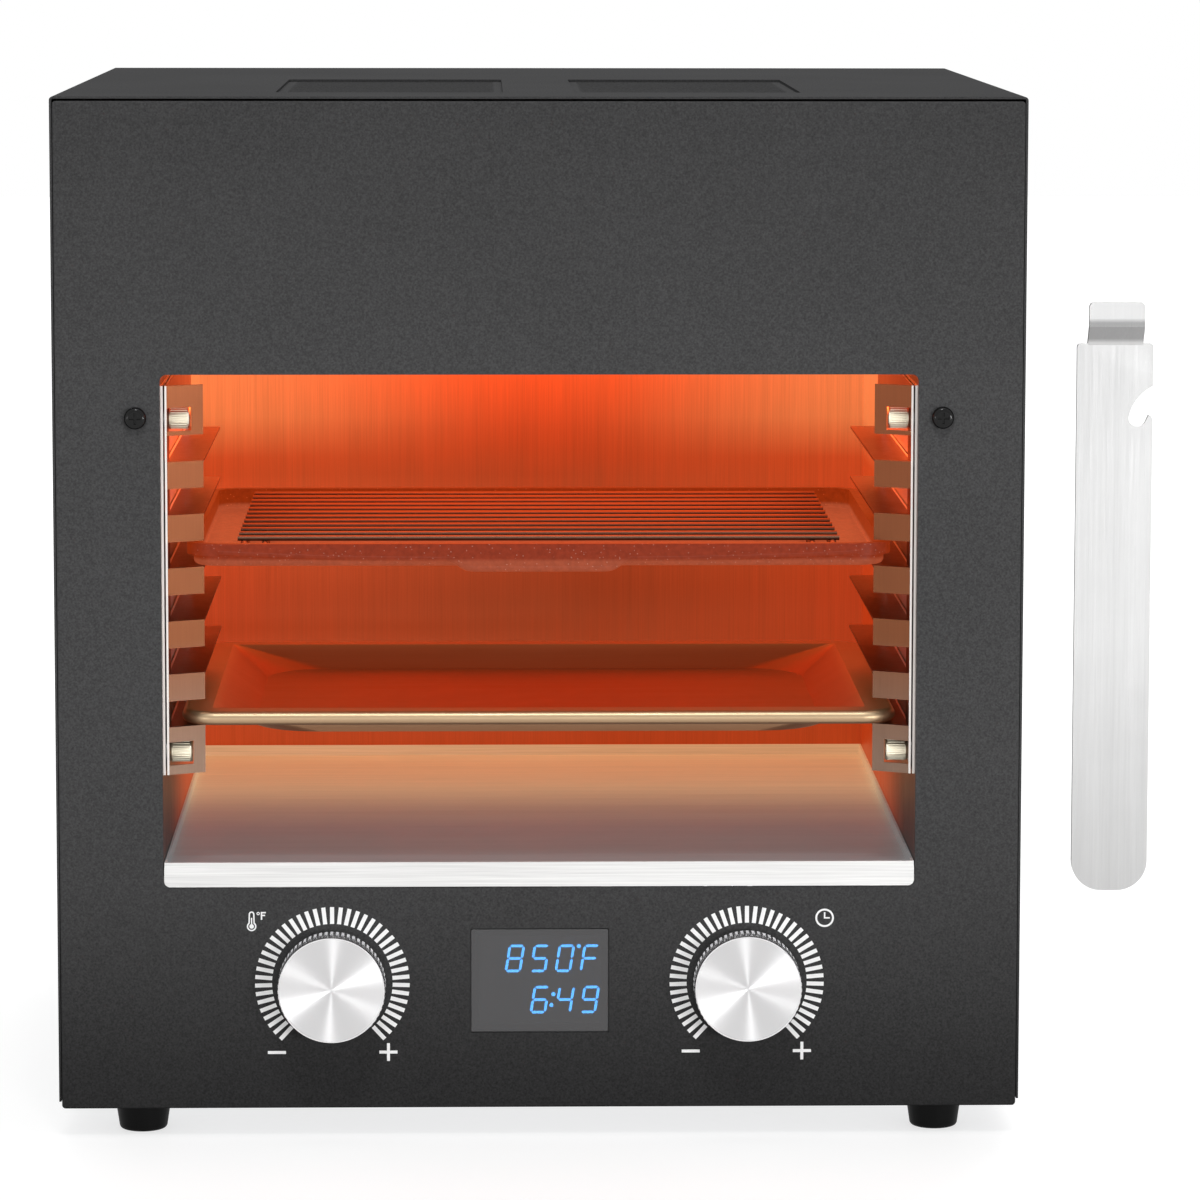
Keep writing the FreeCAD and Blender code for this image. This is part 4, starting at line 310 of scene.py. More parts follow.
def brushed_lines():
    """Long fine lines of brushed sheet; Stretch sets which way they run."""
    group, given, wanted = start_group(
        "Brushed lines",
        [("Stretch", "Vector", (1, 1, 1)), ("Lines per metre", "Float", 2600), ("Contrast", "Float", 0.12)],
        [("Tone", "Float"), ("Height", "Float"), ("Roughness shift", "Float")],
    )
    stretched = vector_node(group, "MULTIPLY", object_place(group), given["Stretch"])
    fine = place(group, "TexNoise", {
        "Vector": stretched, "Scale": given["Lines per metre"], "Detail": 2.0, "Roughness": 0.7,
    }).outputs["Fac"]
    broad_scale = math_node(group, "MULTIPLY", given["Lines per metre"], 0.12)
    broad = place(group, "TexNoise", {
        "Vector": stretched, "Scale": broad_scale, "Detail": 4.0, "Roughness": 0.65,
    }).outputs["Fac"]
    both = math_node(group, "ADD", math_node(group, "MULTIPLY", fine, 0.6),
                     math_node(group, "MULTIPLY", broad, 0.4))
    tone = math_node(group, "ADD", off_middle(group, both, given["Contrast"]), 1.0)
    group.links.new(tone, wanted["Tone"])
    group.links.new(both, wanted["Height"])
    group.links.new(off_middle(group, both, 0.35), wanted["Roughness shift"])
    return group


def handling_marks():
    """Soft smears and dust that vary a surface's gloss."""
    group, given, wanted = start_group(
        "Handling marks",
        [("Marks per metre", "Float", 18)],
        [("Smear", "Float")],
    )
    here = object_place(group)
    warp = place(group, "TexNoise", {"Vector": here, "Scale": given["Marks per metre"], "Detail": 2.0})
    smear = place(group, "TexNoise", {
        "Vector": vector_node(group, "ADD", here, warp.outputs["Color"]),
        "Scale": given["Marks per metre"], "Detail": 5.0, "Roughness": 0.55,
    }).outputs["Fac"]
    group.links.new(smear, wanted["Smear"])
    return group


def painted_light_zone():
    """Where a spot of sheet lies, for placing painted glow and painted shade.

    Along goes from Low to High in the Direction, Sides outward on X, and Depth from Cool to Hot on Y.
    Along Depth the painted glow fades and a painted shade takes over toward the front.
    """
    group, given, wanted = start_group(
        "Painted light zone",
        [("Direction", "Vector", (0, 0, 1)), ("Low", "Float", 0), ("High", "Float", 1),
         ("Half width", "Float", 1), ("Cool", "Float", -0.13), ("Hot", "Float", 0.01)],
        [("Along", "Float"), ("Sides", "Float"), ("Depth", "Float")],
    )
    reach = vector_node(group, "DOT_PRODUCT", object_place(group), given["Direction"])
    out = math_node(group, "ABSOLUTE", object_axis(group, "X"))
    for label, value, start, end, blend in (
        ("Along", reach, given["Low"], given["High"], "LINEAR"),
        ("Sides", out, 0.0, given["Half width"], "SMOOTHSTEP"),
        ("Depth", object_axis(group, "Y"), given["Cool"], given["Hot"], "SMOOTHSTEP"),
    ):
        share = place(group, "MapRange", {"Value": value, "From Min": start, "From Max": end},
                      interpolation_type=blend)
        group.links.new(share.outputs["Result"], wanted[label])
    return group


GROUP_MAKERS = {
    "Coat grain": coat_grain,
    "Brushed lines": brushed_lines,
    "Handling marks": handling_marks,
    "Painted light zone": painted_light_zone,
}


def effect(tree, name, inputs=None):
    """A shared effect placed in a material with its own values."""
    group = bpy.data.node_groups.get(name) or GROUP_MAKERS[name]()
    made = tree.nodes.new("ShaderNodeGroup")
    made.node_tree = group
    for label, value in (inputs or {}).items():
        made.inputs[label].default_value = value
    return made.outputs


def start_material(name, **sockets):
    """A material with a Principled shader and its constant sockets set."""
    material = bpy.data.materials.new(name)
    material.use_nodes = True
    tree = material.node_tree
    tree.nodes.clear()
    output = tree.nodes.new("ShaderNodeOutputMaterial")
    shader = tree.nodes.new("ShaderNodeBsdfPrincipled")
    tree.links.new(shader.outputs["BSDF"], output.inputs["Surface"])
    for label, value in sockets.items():
        shader.inputs[label.replace("_", " ")].default_value = value
    return material, tree, shader.inputs


def tinted(tree, colour, tone):
    """A colour made lighter or darker by a tone round 1."""
    even = place(tree, "CombineXYZ", {"X": tone, "Y": tone, "Z": tone}).outputs["Vector"]
    return vector_node(tree, "MULTIPLY", colour, even)


def bump(tree, height, strength, distance):
    made = place(tree, "Bump", {"Height": height, "Strength": strength, "Distance": distance})
    return made.outputs["Normal"]


def smeared(tree, marks_per_metre, spread, base):
    """A value that handling marks raise above its base by up to the spread."""
    marks = effect(tree, "Handling marks", {"Marks per metre": marks_per_metre})
    return math_node(tree, "MULTIPLY_ADD", marks["Smear"], spread, base)


def worn_gloss(tree, grain, roughness, marks_per_metre, spread):
    """Roughness that follows the grain and varies with handling marks."""
    worn = smeared(tree, marks_per_metre, spread, roughness - spread / 2)
    return math_node(tree, "ADD", grain["Roughness shift"], worn)


def grained(name, colour, roughness, grains=1500, mottling=0.15, relief=0.12, depth=0.03 * MM,
            painted_shades=None, **sockets):
    """Powder coat, moulded plastic, rubber or ink.

    Painted shades are (position, tone) stops of painted shade from the cabinet's foot to its top.
    """
    material, tree, shader = start_material(name, **sockets)
    grain = effect(tree, "Coat grain", {"Grains per metre": grains, "Mottling": mottling})
    toned = tinted(tree, colour, grain["Tone"])
    # Painted shade: a tone ramp by height stands in for light falling off.
    if painted_shades:
        share = math_node(tree, "DIVIDE", object_axis(tree, "Z"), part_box("outer_wrap")[1].z)
        toned = vector_node(tree, "MULTIPLY", toned, ramp(tree, share, painted_shades))
    tree.links.new(toned, shader["Base Color"])
    tree.links.new(worn_gloss(tree, grain, roughness, 14, 0.12), shader["Roughness"])
    tree.links.new(bump(tree, grain["Height"], relief, depth), shader["Normal"])
    return material


def brushed_sheet(name, roughness, stretch, contrast=0.12, lines=None, anisotropy=0.5, metallic=1.0):
    """Brushed sheet whose caller gives its colour; the lines run along the axis whose stretch is small."""
    steel = bpy.context.scene.grill_steel
    material, tree, shader = start_material(name, Metallic=metallic, Anisotropic=anisotropy)
    grain = effect(tree, "Brushed lines", {
        "Stretch": stretch, "Lines per metre": lines or steel.line_scale, "Contrast": contrast,
    })
    tree.links.new(worn_gloss(tree, grain, roughness, 10, 0.1), shader["Roughness"])
    tree.links.new(bump(tree, grain["Height"], 0.08, 0.02 * MM), shader["Normal"])
    return material, tree, shader, grain


def brushed(name, colour, *sheet, **settings):
    """Brushed sheet of one colour."""
    material, tree, shader, grain = brushed_sheet(name, *sheet, **settings)
    tree.links.new(tinted(tree, colour, grain["Tone"]), shader["Base Color"])
    return material


ALONG_X = (0.012, 1.0, 1.0)
ALONG_Y = (1.0, 0.012, 1.0)
ALONG_Z = (1.0, 1.0, 0.012)


# Piece helpers


def finish(material, *nodes):
    """Gives CAD nodes their material."""
    for name in nodes:
        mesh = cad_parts[name].data
        mesh.materials.clear()
        mesh.materials.append(material)


def piece_from(name, data, material, body):
    """A new piece of the object from a mesh or curves, riding on a body."""
    data.name = name
    piece = bpy.data.objects.new(name, data)
    bpy.context.collection.objects.link(piece)
    data.materials.append(material)
    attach(piece, body)
    return piece


class RaisedMarks:
    """Flat raised marks on an upright face; all points are (x, z), seen from the front."""

    def __init__(self, back, thickness):
        self.shape, self.back, self.front = bmesh.new(), back, back - thickness

    def polygon(self, points):
        rear = [self.shape.verts.new((x, self.back, z)) for x, z in points]
        front = [self.shape.verts.new((x, self.front, z)) for x, z in points]
        self.shape.faces.new(front)
        self.shape.faces.new(rear[::-1])
        for index in range(len(points)):
            after = (index + 1) % len(points)
            self.shape.faces.new((front[after], front[index], rear[index], rear[after]))

    def stroke(self, points, width, closed=False):
        """A line of even width along the points."""
        count = len(points)
        left, right = [], []
        for index, point in enumerate(points):
            here = Vector(point)
            before = Vector(points[index - 1]) if closed or index > 0 else None
            after = Vector(points[(index + 1) % count]) if closed or index < count - 1 else None
            along_in = (here - before).normalized() if before is not None else (after - here).normalized()
            along_out = (after - here).normalized() if after is not None else along_in
            along = (along_in + along_out).normalized()
            stretch = 1 / max(0.5, along.dot(along_in))
            side = Vector((-along.y, along.x)) * width / 2 * stretch
            left.append(here + side)
            right.append(here - side)
        for index in range(count if closed else count - 1):
            after = (index + 1) % count
            self.polygon([left[index], left[after], right[after], right[index]])

    def piece(self, name, material, slot):
        return piece_from(name, finished_mesh(self.shape), material, "cabinet")


def circle_points(x, z, radius, count, start=0.0, sweep=2 * math.pi):
    """Points round a whole circle, or along an arc with both its ends."""
    steps = count if sweep >= 2 * math.pi - 1e-6 else count - 1
    return [
        (x + radius * math.cos(start + sweep * i / steps), z + radius * math.sin(start + sweep * i / steps))
        for i in range(count)
    ]


def finished_mesh(shape):
    mesh = bpy.data.meshes.new("mesh")
    bmesh.ops.remove_doubles(shape, verts=shape.verts, dist=1e-7)
    bmesh.ops.recalc_face_normals(shape, faces=shape.faces)
    shape.to_mesh(mesh)
    shape.free()
    return mesh


# Materials of this grill


def charcoal_coat():
    """Matt powder coat with painted shade: darkest toward the feet and a little darker at the top."""
    coat = bpy.context.scene.grill_coat
    # Painted shade: the tone falls toward the feet and a little at the top, as the light falls off.
    return grained("Charcoal powder coat", coat.colour, coat.roughness, coat.grain, 1.3, 0.35, 0.05 * MM, [
        (0.0, 0.42), (0.05, 0.50), (0.12, 0.67), (0.22, 0.88), (0.36, 1.0), (0.72, 1.0), (1.0, 0.82),
    ], Specular_IOR_Level=0.0)


def painted_heat_glow(tree, shader, stops, tone, side_stops=None, direction=(0, 0, 1), span=None,
                   cool_front=False):
    """Painted glow standing in for the heater's red light on the sheet; stops run from Low to High, and side
    stops take over toward the sides.
    """
    low, high = span or (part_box("cavity_floor")[1].z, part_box("cavity_liner")[1].z)
    zone = effect(tree, "Painted light zone", {
        "Direction": direction, "Low": low, "High": high, "Half width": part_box("cavity_liner")[1].x,
    })
    # Painted light: this emission imitates the heater's light falling on the sheet.
    glow = ramp(tree, zone["Along"], stops)
    if side_stops:
        glow = mix_colour(tree, zone["Sides"], glow, ramp(tree, zone["Along"], side_stops))
    if cool_front:
        tone = math_node(tree, "MULTIPLY", tone, zone["Depth"])
    tree.links.new(tinted(tree, glow, tone), shader["Emission Color"])
    shader["Emission Strength"].default_value = bpy.context.scene.grill_heat.painted_wall_glow
    return zone


def steel_with_painted_light(name, stretch, painted_tints, stops, roughness=0.3, contrast=0.3, lines=None, metallic=1.0,
                 front_painted_shade=None, painted_highlight_beyond=None, **glow):
    """Brushed stainless with painted tints and a painted red glow that stand in for the heater's light and
    change over the cavity.

    A painted shade takes over toward the cavity's front. Beyond a distance on X a painted highlight stands
    in for the bright front edges.
    """
    material, tree, shader, grain = brushed_sheet(
        name, roughness, stretch, contrast, lines, anisotropy=0.3, metallic=metallic,
    )
    zone = painted_heat_glow(tree, shader, stops, grain["Tone"], **glow)
    painted_tint = ramp(tree, zone["Along"], painted_tints)
    # Painted shade: a dark colour takes over toward the cavity's front.
    if front_painted_shade:
        painted_tint = mix_colour(tree, zone["Depth"], front_painted_shade, painted_tint)
    # Painted highlight: the outermost edges get a bright colour.
    if painted_highlight_beyond:
        out = math_node(tree, "ABSOLUTE", object_axis(tree, "X"))
        painted_highlight_mask = math_node(tree, "GREATER_THAN", out, painted_highlight_beyond)
        painted_tint = mix_colour(tree, painted_highlight_mask, painted_tint, bpy.context.scene.grill_steel.painted_edge_highlight)
    tree.links.new(tinted(tree, painted_tint, grain["Tone"]), shader["Base Color"])
    return material


def spun_face():
    """Spun aluminium: rings round the knob's axis with a fan-shaped shine."""
    material, tree, shader = start_material("Spun aluminium", Metallic=1.0, Anisotropic=1.0,
                                            Anisotropic_Rotation=0.25)
    generated = place(tree, "TexCoord").outputs["Generated"]
    centred = vector_node(tree, "SUBTRACT", generated, (0.5, 0.5, 0.5))
    radius = vector_node(tree, "LENGTH", vector_node(tree, "MULTIPLY", centred, (1.0, 0.0, 1.0)))
    rings = place(tree, "TexNoise", {
        "Scale": 260.0, "Detail": 3.0, "Roughness": 0.7,
        "Vector": place(tree, "CombineXYZ", {"X": radius}).outputs["Vector"],
    }).outputs["Fac"]
    tone = math_node(tree, "MULTIPLY_ADD", rings, 0.14, 0.93)
    tree.links.new(tinted(tree, (0.78, 0.78, 0.785), tone), shader["Base Color"])
    tree.links.new(math_node(tree, "MULTIPLY_ADD", rings, 0.12, 0.36), shader["Roughness"])
    tree.links.new(bump(tree, rings, 0.12, 0.02 * MM), shader["Normal"])
    tree.links.new(place(tree, "Tangent", direction_type="RADIAL", axis="Y").outputs["Tangent"],
                   shader["Tangent"])
    return material


def bright_metal(name, colour, roughness):
    """Plated or polished metal with faint smears."""
    material, tree, shader = start_material(name, Metallic=1.0)
    grain = effect(tree, "Coat grain", {"Grains per metre": 2500, "Mottling": 0.06})
    tree.links.new(tinted(tree, colour, grain["Tone"]), shader["Base Color"])
    tree.links.new(smeared(tree, 60, 0.16, roughness - 0.06), shader["Roughness"])
    tree.links.new(bump(tree, grain["Height"], 0.03, 0.01 * MM), shader["Normal"])
    return material


def window_glass():
    """Grey anti-glare window, half clear."""
    material, tree, shader = start_material("Grey window", IOR=1.46, Transmission_Weight=0.5)
    grain = effect(tree, "Coat grain", {"Grains per metre": 2400, "Mottling": 0.02})
    tree.links.new(tinted(tree, (0.125, 0.125, 0.13), grain["Tone"]), shader["Base Color"])
    tree.links.new(smeared(tree, 30, 0.05, 0.03), shader["Roughness"])
    return material


def clear_quartz():
    material, tree, shader = start_material("Clear quartz", IOR=1.46, Transmission_Weight=1.0)
    tone = smeared(tree, 40, 0.04, 0.97)
    tree.links.new(tinted(tree, (0.97, 0.97, 0.95), tone), shader["Base Color"])
    tree.links.new(smeared(tree, 40, 0.08, 0.0), shader["Roughness"])
    return material


def glowing(name, colour, strength, unlit=(0.02, 0.02, 0.02), patches=60):
    """A self-lit surface whose glow varies slightly."""
    material, tree, shader = start_material(name, Roughness=0.4)
    tone = smeared(tree, patches, 0.2, 0.9)
    tree.links.new(tinted(tree, colour, tone), shader["Emission Color"])
    tree.links.new(tinted(tree, unlit, tone), shader["Base Color"])
    shader["Emission Strength"].default_value = strength
    return material


def white_ink():
    ink = bpy.context.scene.grill_print
    return grained("White ink", ink.colour, 0.5, 3000, mottling=0.08, relief=0.05, depth=0.005 * MM)


def fibre_blanket():
    """Pale ceramic fibre with matted strands."""
    material, tree, shader = start_material("Fibre blanket", Roughness=0.95, Sheen_Weight=0.3)
    here = object_place(tree)
    strands = place(tree, "TexNoise", {
        "Vector": here, "Scale": 260.0, "Detail": 8.0, "Distortion": 2.5,
    }).outputs["Fac"]
    clumps = place(tree, "TexNoise", {"Vector": here, "Scale": 40.0, "Detail": 4.0}).outputs["Fac"]
    tone = math_node(tree, "MULTIPLY_ADD", strands, 0.5, 0.72)
    tree.links.new(tinted(tree, (0.70, 0.68, 0.62), tone), shader["Base Color"])
    height = math_node(tree, "ADD", strands, math_node(tree, "MULTIPLY", clumps, 2.0))
    tree.links.new(bump(tree, height, 0.8, 1.0 * MM), shader["Normal"])
    return material


def circuit_board():
    """Green solder mask over copper tracks."""
    material, tree, shader = start_material("Circuit board", Roughness=0.35)
    here = object_place(tree)
    tracks = place(tree, "TexBrick", {
        "Vector": here, "Scale": 90.0, "Color1": (0.012, 0.10, 0.04, 1), "Color2": (0.018, 0.14, 0.06, 1),
        "Mortar": (0.05, 0.22, 0.10, 1), "Mortar Size": 0.03,
    }).outputs["Color"]
    speckle = effect(tree, "Coat grain", {"Grains per metre": 900, "Mottling": 0.3})
    tree.links.new(tinted(tree, tracks, speckle["Tone"]), shader["Base Color"])
    tree.links.new(bump(tree, speckle["Height"], 0.1, 0.02 * MM), shader["Normal"])
    return material


def speckled_enamel():
    """Dark enamel with small pale specks and a pebbled gloss."""
    material, tree, shader = start_material("Speckled enamel", Specular_IOR_Level=0.06)
    here = object_place(tree)
    cells = place(tree, "TexVoronoi", {"Vector": here, "Scale": 620.0}).outputs["Distance"]
    specks = math_node(tree, "LESS_THAN", cells, 0.14)
    grain = effect(tree, "Coat grain", {"Grains per metre": 520, "Mottling": 0.6})
    base = tinted(tree, (0.022, 0.014, 0.012), grain["Tone"])
    tree.links.new(mix_colour(tree, specks, base, (0.16, 0.12, 0.10)), shader["Base Color"])
    tree.links.new(math_node(tree, "ADD", grain["Roughness shift"], 0.38), shader["Roughness"])
    tree.links.new(bump(tree, grain["Height"], 0.5, 0.15 * MM), shader["Normal"])
    # Painted light: a red glow on the enamel stands in for the heater's light.
    painted_heat_glow(tree, shader, [
        (0.0, (0.42, 0.075, 0.028)), (0.36, (0.42, 0.075, 0.028)), (0.48, (0.30, 0.028, 0.003)),
        (1.0, (0.30, 0.025, 0.002)),
    ], grain["Tone"], span=tuple(corner.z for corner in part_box("upper_tray")))
    return material


# One operator for each piece or group of like pieces


class GrillOperator:
    bl_options = {"REGISTER", "UNDO"}


class GRILL_OT_cabinet_shell(GrillOperator, bpy.types.Operator):
    """Coats the folded top and sides, the front panel and the rear panel"""

    bl_idname = "grill.cabinet_shell"
    bl_label = "Cabinet shell"

    def execute(self, context):
        finish(charcoal_coat(), "outer_wrap", "front_panel", "rear_panel")
        return {"FINISHED"}


class GRILL_OT_underside(GrillOperator, bpy.types.Operator):
    """Finishes the base plate, supports, feet and cord gland"""

    bl_idname = "grill.underside"
    bl_label = "Underside and feet"

    def execute(self, context):
        zinc = brushed("Zinc sheet", (0.50, 0.51, 0.53), 0.42, (1, 1, 1), contrast=0.25, lines=120,
                       anisotropy=0.0)
        finish(zinc, "base_plate", "cavity_supports", "tube_brackets")
        rubber = grained("Black rubber", (0.003, 0.003, 0.003), 0.5, 900, mottling=0.3, relief=0.2,
                         Specular_IOR_Level=0.08)
        finish(rubber, "rubber_feet")
        plastic = grained("Black moulded plastic", (0.016, 0.016, 0.017), 0.45, 1800, relief=0.2)
        finish(plastic, "cord_gland", "fan_frame", "fan_rotor", "display_holder")
        return {"FINISHED"}


class GRILL_OT_cavity(GrillOperator, bpy.types.Operator):
    """Finishes the stainless cavity with painted red glow and painted shade, its floor, reflector and drip
    tray
    """

    bl_idname = "grill.cavity"
    bl_label = "Cavity"

    def execute(self, context):
        # Painted light: red base tints and a glow stand in for the heater's light on the walls; a painted
        # shade darkens the front.
        liner = steel_with_painted_light("Liner steel with painted light", ALONG_Z, [
            (0.0, (0.30, 0.07, 0.03)), (0.3, (0.30, 0.07, 0.03)), (0.6, (0.30, 0.06, 0.02)),
            (1.0, (0.40, 0.10, 0.03)),
        ], [
            (0.0, (0.30, 0.022, 0.001)), (0.30, (0.15, 0.016, 0.001)), (0.55, (0.22, 0.022, 0.003)),
            (0.64, (0.36, 0.035, 0.006)), (0.76, (0.66, 0.052, 0.006)), (1.0, (0.9, 0.08, 0.01)),
        ], side_stops=[
            (0.0, (0.30, 0.03, 0.004)), (0.30, (0.34, 0.030, 0.004)), (0.58, (0.42, 0.055, 0.011)),
            (0.66, (0.62, 0.20, 0.06)), (0.76, (0.68, 0.22, 0.068)), (1.0, (0.9, 0.20, 0.05)),
        ], roughness=0.4, contrast=0.6, lines=2200, front_painted_shade=(0.10, 0.08, 0.08), cool_front=True)
        finish(liner, "cavity_liner")
        # Painted light: the warm tint and red glow stand in for the heater's light on the reflector.
        reflector = steel_with_painted_light("Reflector sheet with painted light", ALONG_X, [
            (0.0, (0.5, 0.3, 0.2)), (1.0, (0.5, 0.14, 0.05)),
        ], [
            (0.0, (0.32, 0.03, 0.005)), (1.0, (0.75, 0.08, 0.01)),
        ], roughness=0.25)
        finish(reflector, "heater_reflector")
        # Painted light: the warm tint and glow rising toward the back and the grey glow at the front paint
        # the heater's light and the room's reflection; the frontmost strip is pale.
        front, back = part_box("drip_tray")[0].y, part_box("drip_tray")[1].y
        floor = steel_with_painted_light("Drip tray steel with painted light", ALONG_X, [
            (0.0, (0.80, 0.80, 0.79)), (0.02, (0.80, 0.80, 0.79)), (0.03, (0.30, 0.30, 0.31)),
            (0.6, (0.28, 0.27, 0.27)), (1.0, (0.32, 0.26, 0.22)),
        ], [
            (0.02, (0.0, 0.0, 0.0)), (0.03, (0.08, 0.10, 0.105)), (0.35, (0.12, 0.115, 0.11)),
            (0.50, (0.20, 0.16, 0.12)), (0.70, (0.43, 0.29, 0.16)), (1.0, (0.46, 0.25, 0.11)),
        ], direction=(0, 1, 0), span=(front, back), roughness=0.4, metallic=0.3, contrast=0.9, lines=1500)
        finish(floor, "drip_tray", "cavity_floor")
        return {"FINISHED"}


class GRILL_OT_racks(GrillOperator, bpy.types.Operator):
    """Finishes both racks with their bolts, spacers and knurled nuts"""

    bl_idname = "grill.racks"
    bl_label = "Tray racks"

    def execute(self, context):
        # Painted light: red tints and a glow fading toward the front paint the heater's light; a painted
        # highlight brightens the edges beyond the nuts.
        rack = steel_with_painted_light("Rack steel", ALONG_Z, [
            (0.2, (0.18, 0.115, 0.083)), (0.4, (0.16, 0.057, 0.026)), (0.8, (0.17, 0.055, 0.024)),
            (1.0, (0.24, 0.07, 0.028)),
        ], [
            (0.2, (0.02, 0.01, 0.005)), (0.4, (0.11, 0.016, 0.003)), (1.0, (0.28, 0.03, 0.006)),
        ], roughness=0.36, contrast=0.5, cool_front=True,
            painted_highlight_beyond=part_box("rack_nuts")[1].x + 0.05 * MM)
        finish(rack, "left_rack", "right_rack")
        finish(bright_metal("Nickel-plated nut", (0.86, 0.80, 0.64), 0.42), "rack_nuts")
        finish(bright_metal("Zinc-plated steel", (0.55, 0.55, 0.56), 0.32), "rack_bolts", "rack_spacers",
               "foot_screws", "board_screws", "encoder_nuts", "temperature_knob_shaft", "time_knob_shaft",
               "knob_encoders")
        return {"FINISHED"}


class GRILL_OT_trays(GrillOperator, bpy.types.Operator):
    """Finishes the enamelled tray, the wire grill and the bright lower tray"""

    bl_idname = "grill.trays"
    bl_label = "Trays and wire grill"

    def execute(self, context):
        finish(speckled_enamel(), "upper_tray")
        # Painted light: the dark brown tone stands in for shade and the heater's red light on bright wire.
        finish(bright_metal("Wire with painted red shade", (0.15, 0.085, 0.055), 0.5), "wire_grill")
        # Painted light: warm tints and a red glow stand in for the heater's light on the bright tray.
        tray = steel_with_painted_light("Bright tray steel", ALONG_X, [
            (0.0, (0.36, 0.20, 0.11)), (0.6, (0.40, 0.28, 0.17)), (1.0, (0.46, 0.36, 0.23)),
        ], [
            (0.0, (0.05, 0.01, 0.003)), (0.8, (0.03, 0.008, 0.003)), (1.0, (0.05, 0.02, 0.006)),
        ], span=tuple(corner.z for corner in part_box("lower_tray")), roughness=0.38, contrast=0.3)
        finish(tray, "lower_tray")
        return {"FINISHED"}


class GRILL_OT_heater(GrillOperator, bpy.types.Operator):
    """Finishes the quartz tubes and coils their heating wires"""

    bl_idname = "grill.heater"
    bl_label = "Heater"

    def execute(self, context):
        heat = context.scene.grill_heat
        finish(clear_quartz(), "quartz_tubes")
        finish(grained("Steatite", (0.72, 0.68, 0.58), 0.55, 900, mottling=0.2), "tube_end_caps")
        finish(bright_metal("Nickel strip", (0.60, 0.57, 0.52), 0.35), "tube_terminals", "thermocouple",
               "thermal_cutout")
        finish(fibre_blanket(), "top_insulation", "back_insulation", "side_insulation")
        finish(grained("Silicone sleeve", (0.62, 0.60, 0.55), 0.5, 1200), "heater_leads", "signal_leads")
        wire = glowing("Heating wire", (1.0, 0.16, 0.02), heat.wire_strength, (0.2, 0.05, 0.02), 300)
        low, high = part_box("heater_filaments")
        radius = (high.z - low.z) / 2
        first, last = low.y + radius, high.y - radius
        tubes, per_turn = 4, 8
        coils = bpy.data.curves.new("heating_coils", "CURVE")
        coils.dimensions = "3D"
        coils.bevel_depth = heat.wire_radius
        coils.bevel_resolution = 1
        coils.resolution_u = 2
        turns = int((high.x - low.x) / heat.coil_pitch)
        for tube in range(tubes):
            y = first + (last - first) * tube / (tubes - 1)
            line = coils.splines.new("POLY")
            line.points.add(turns * per_turn)
            for index, point in enumerate(line.points):
                angle = 2 * math.pi * index / per_turn
                x = low.x + (high.x - low.x) * index / (turns * per_turn)
                point.co = (x, y + heat.coil_radius * math.cos(angle),
                            (low.z + high.z) / 2 + heat.coil_radius * math.sin(angle), 1)
        piece = piece_from("heating_coils", coils, wire, "cabinet")
        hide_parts("heater_filaments")
        return {"FINISHED"}


class GRILL_OT_knobs(GrillOperator, bpy.types.Operator):
    """Finishes both knobs: bright fluted skirts and spun faces"""

    bl_idname = "grill.knobs"
    bl_label = "Knobs"

    def execute(self, context):
        skirt = bright_metal("Knob skirt", (0.74, 0.74, 0.75), 0.2)
        face = spun_face()
        for side in ("temperature", "time"):
            finish(skirt, side + "_knob_body")
            finish(face, side + "_knob_face")
            finish(grained("White moulded " + side, (0.7, 0.69, 0.66), 0.4), side + "_push_contact")
        return {"FINISHED"}


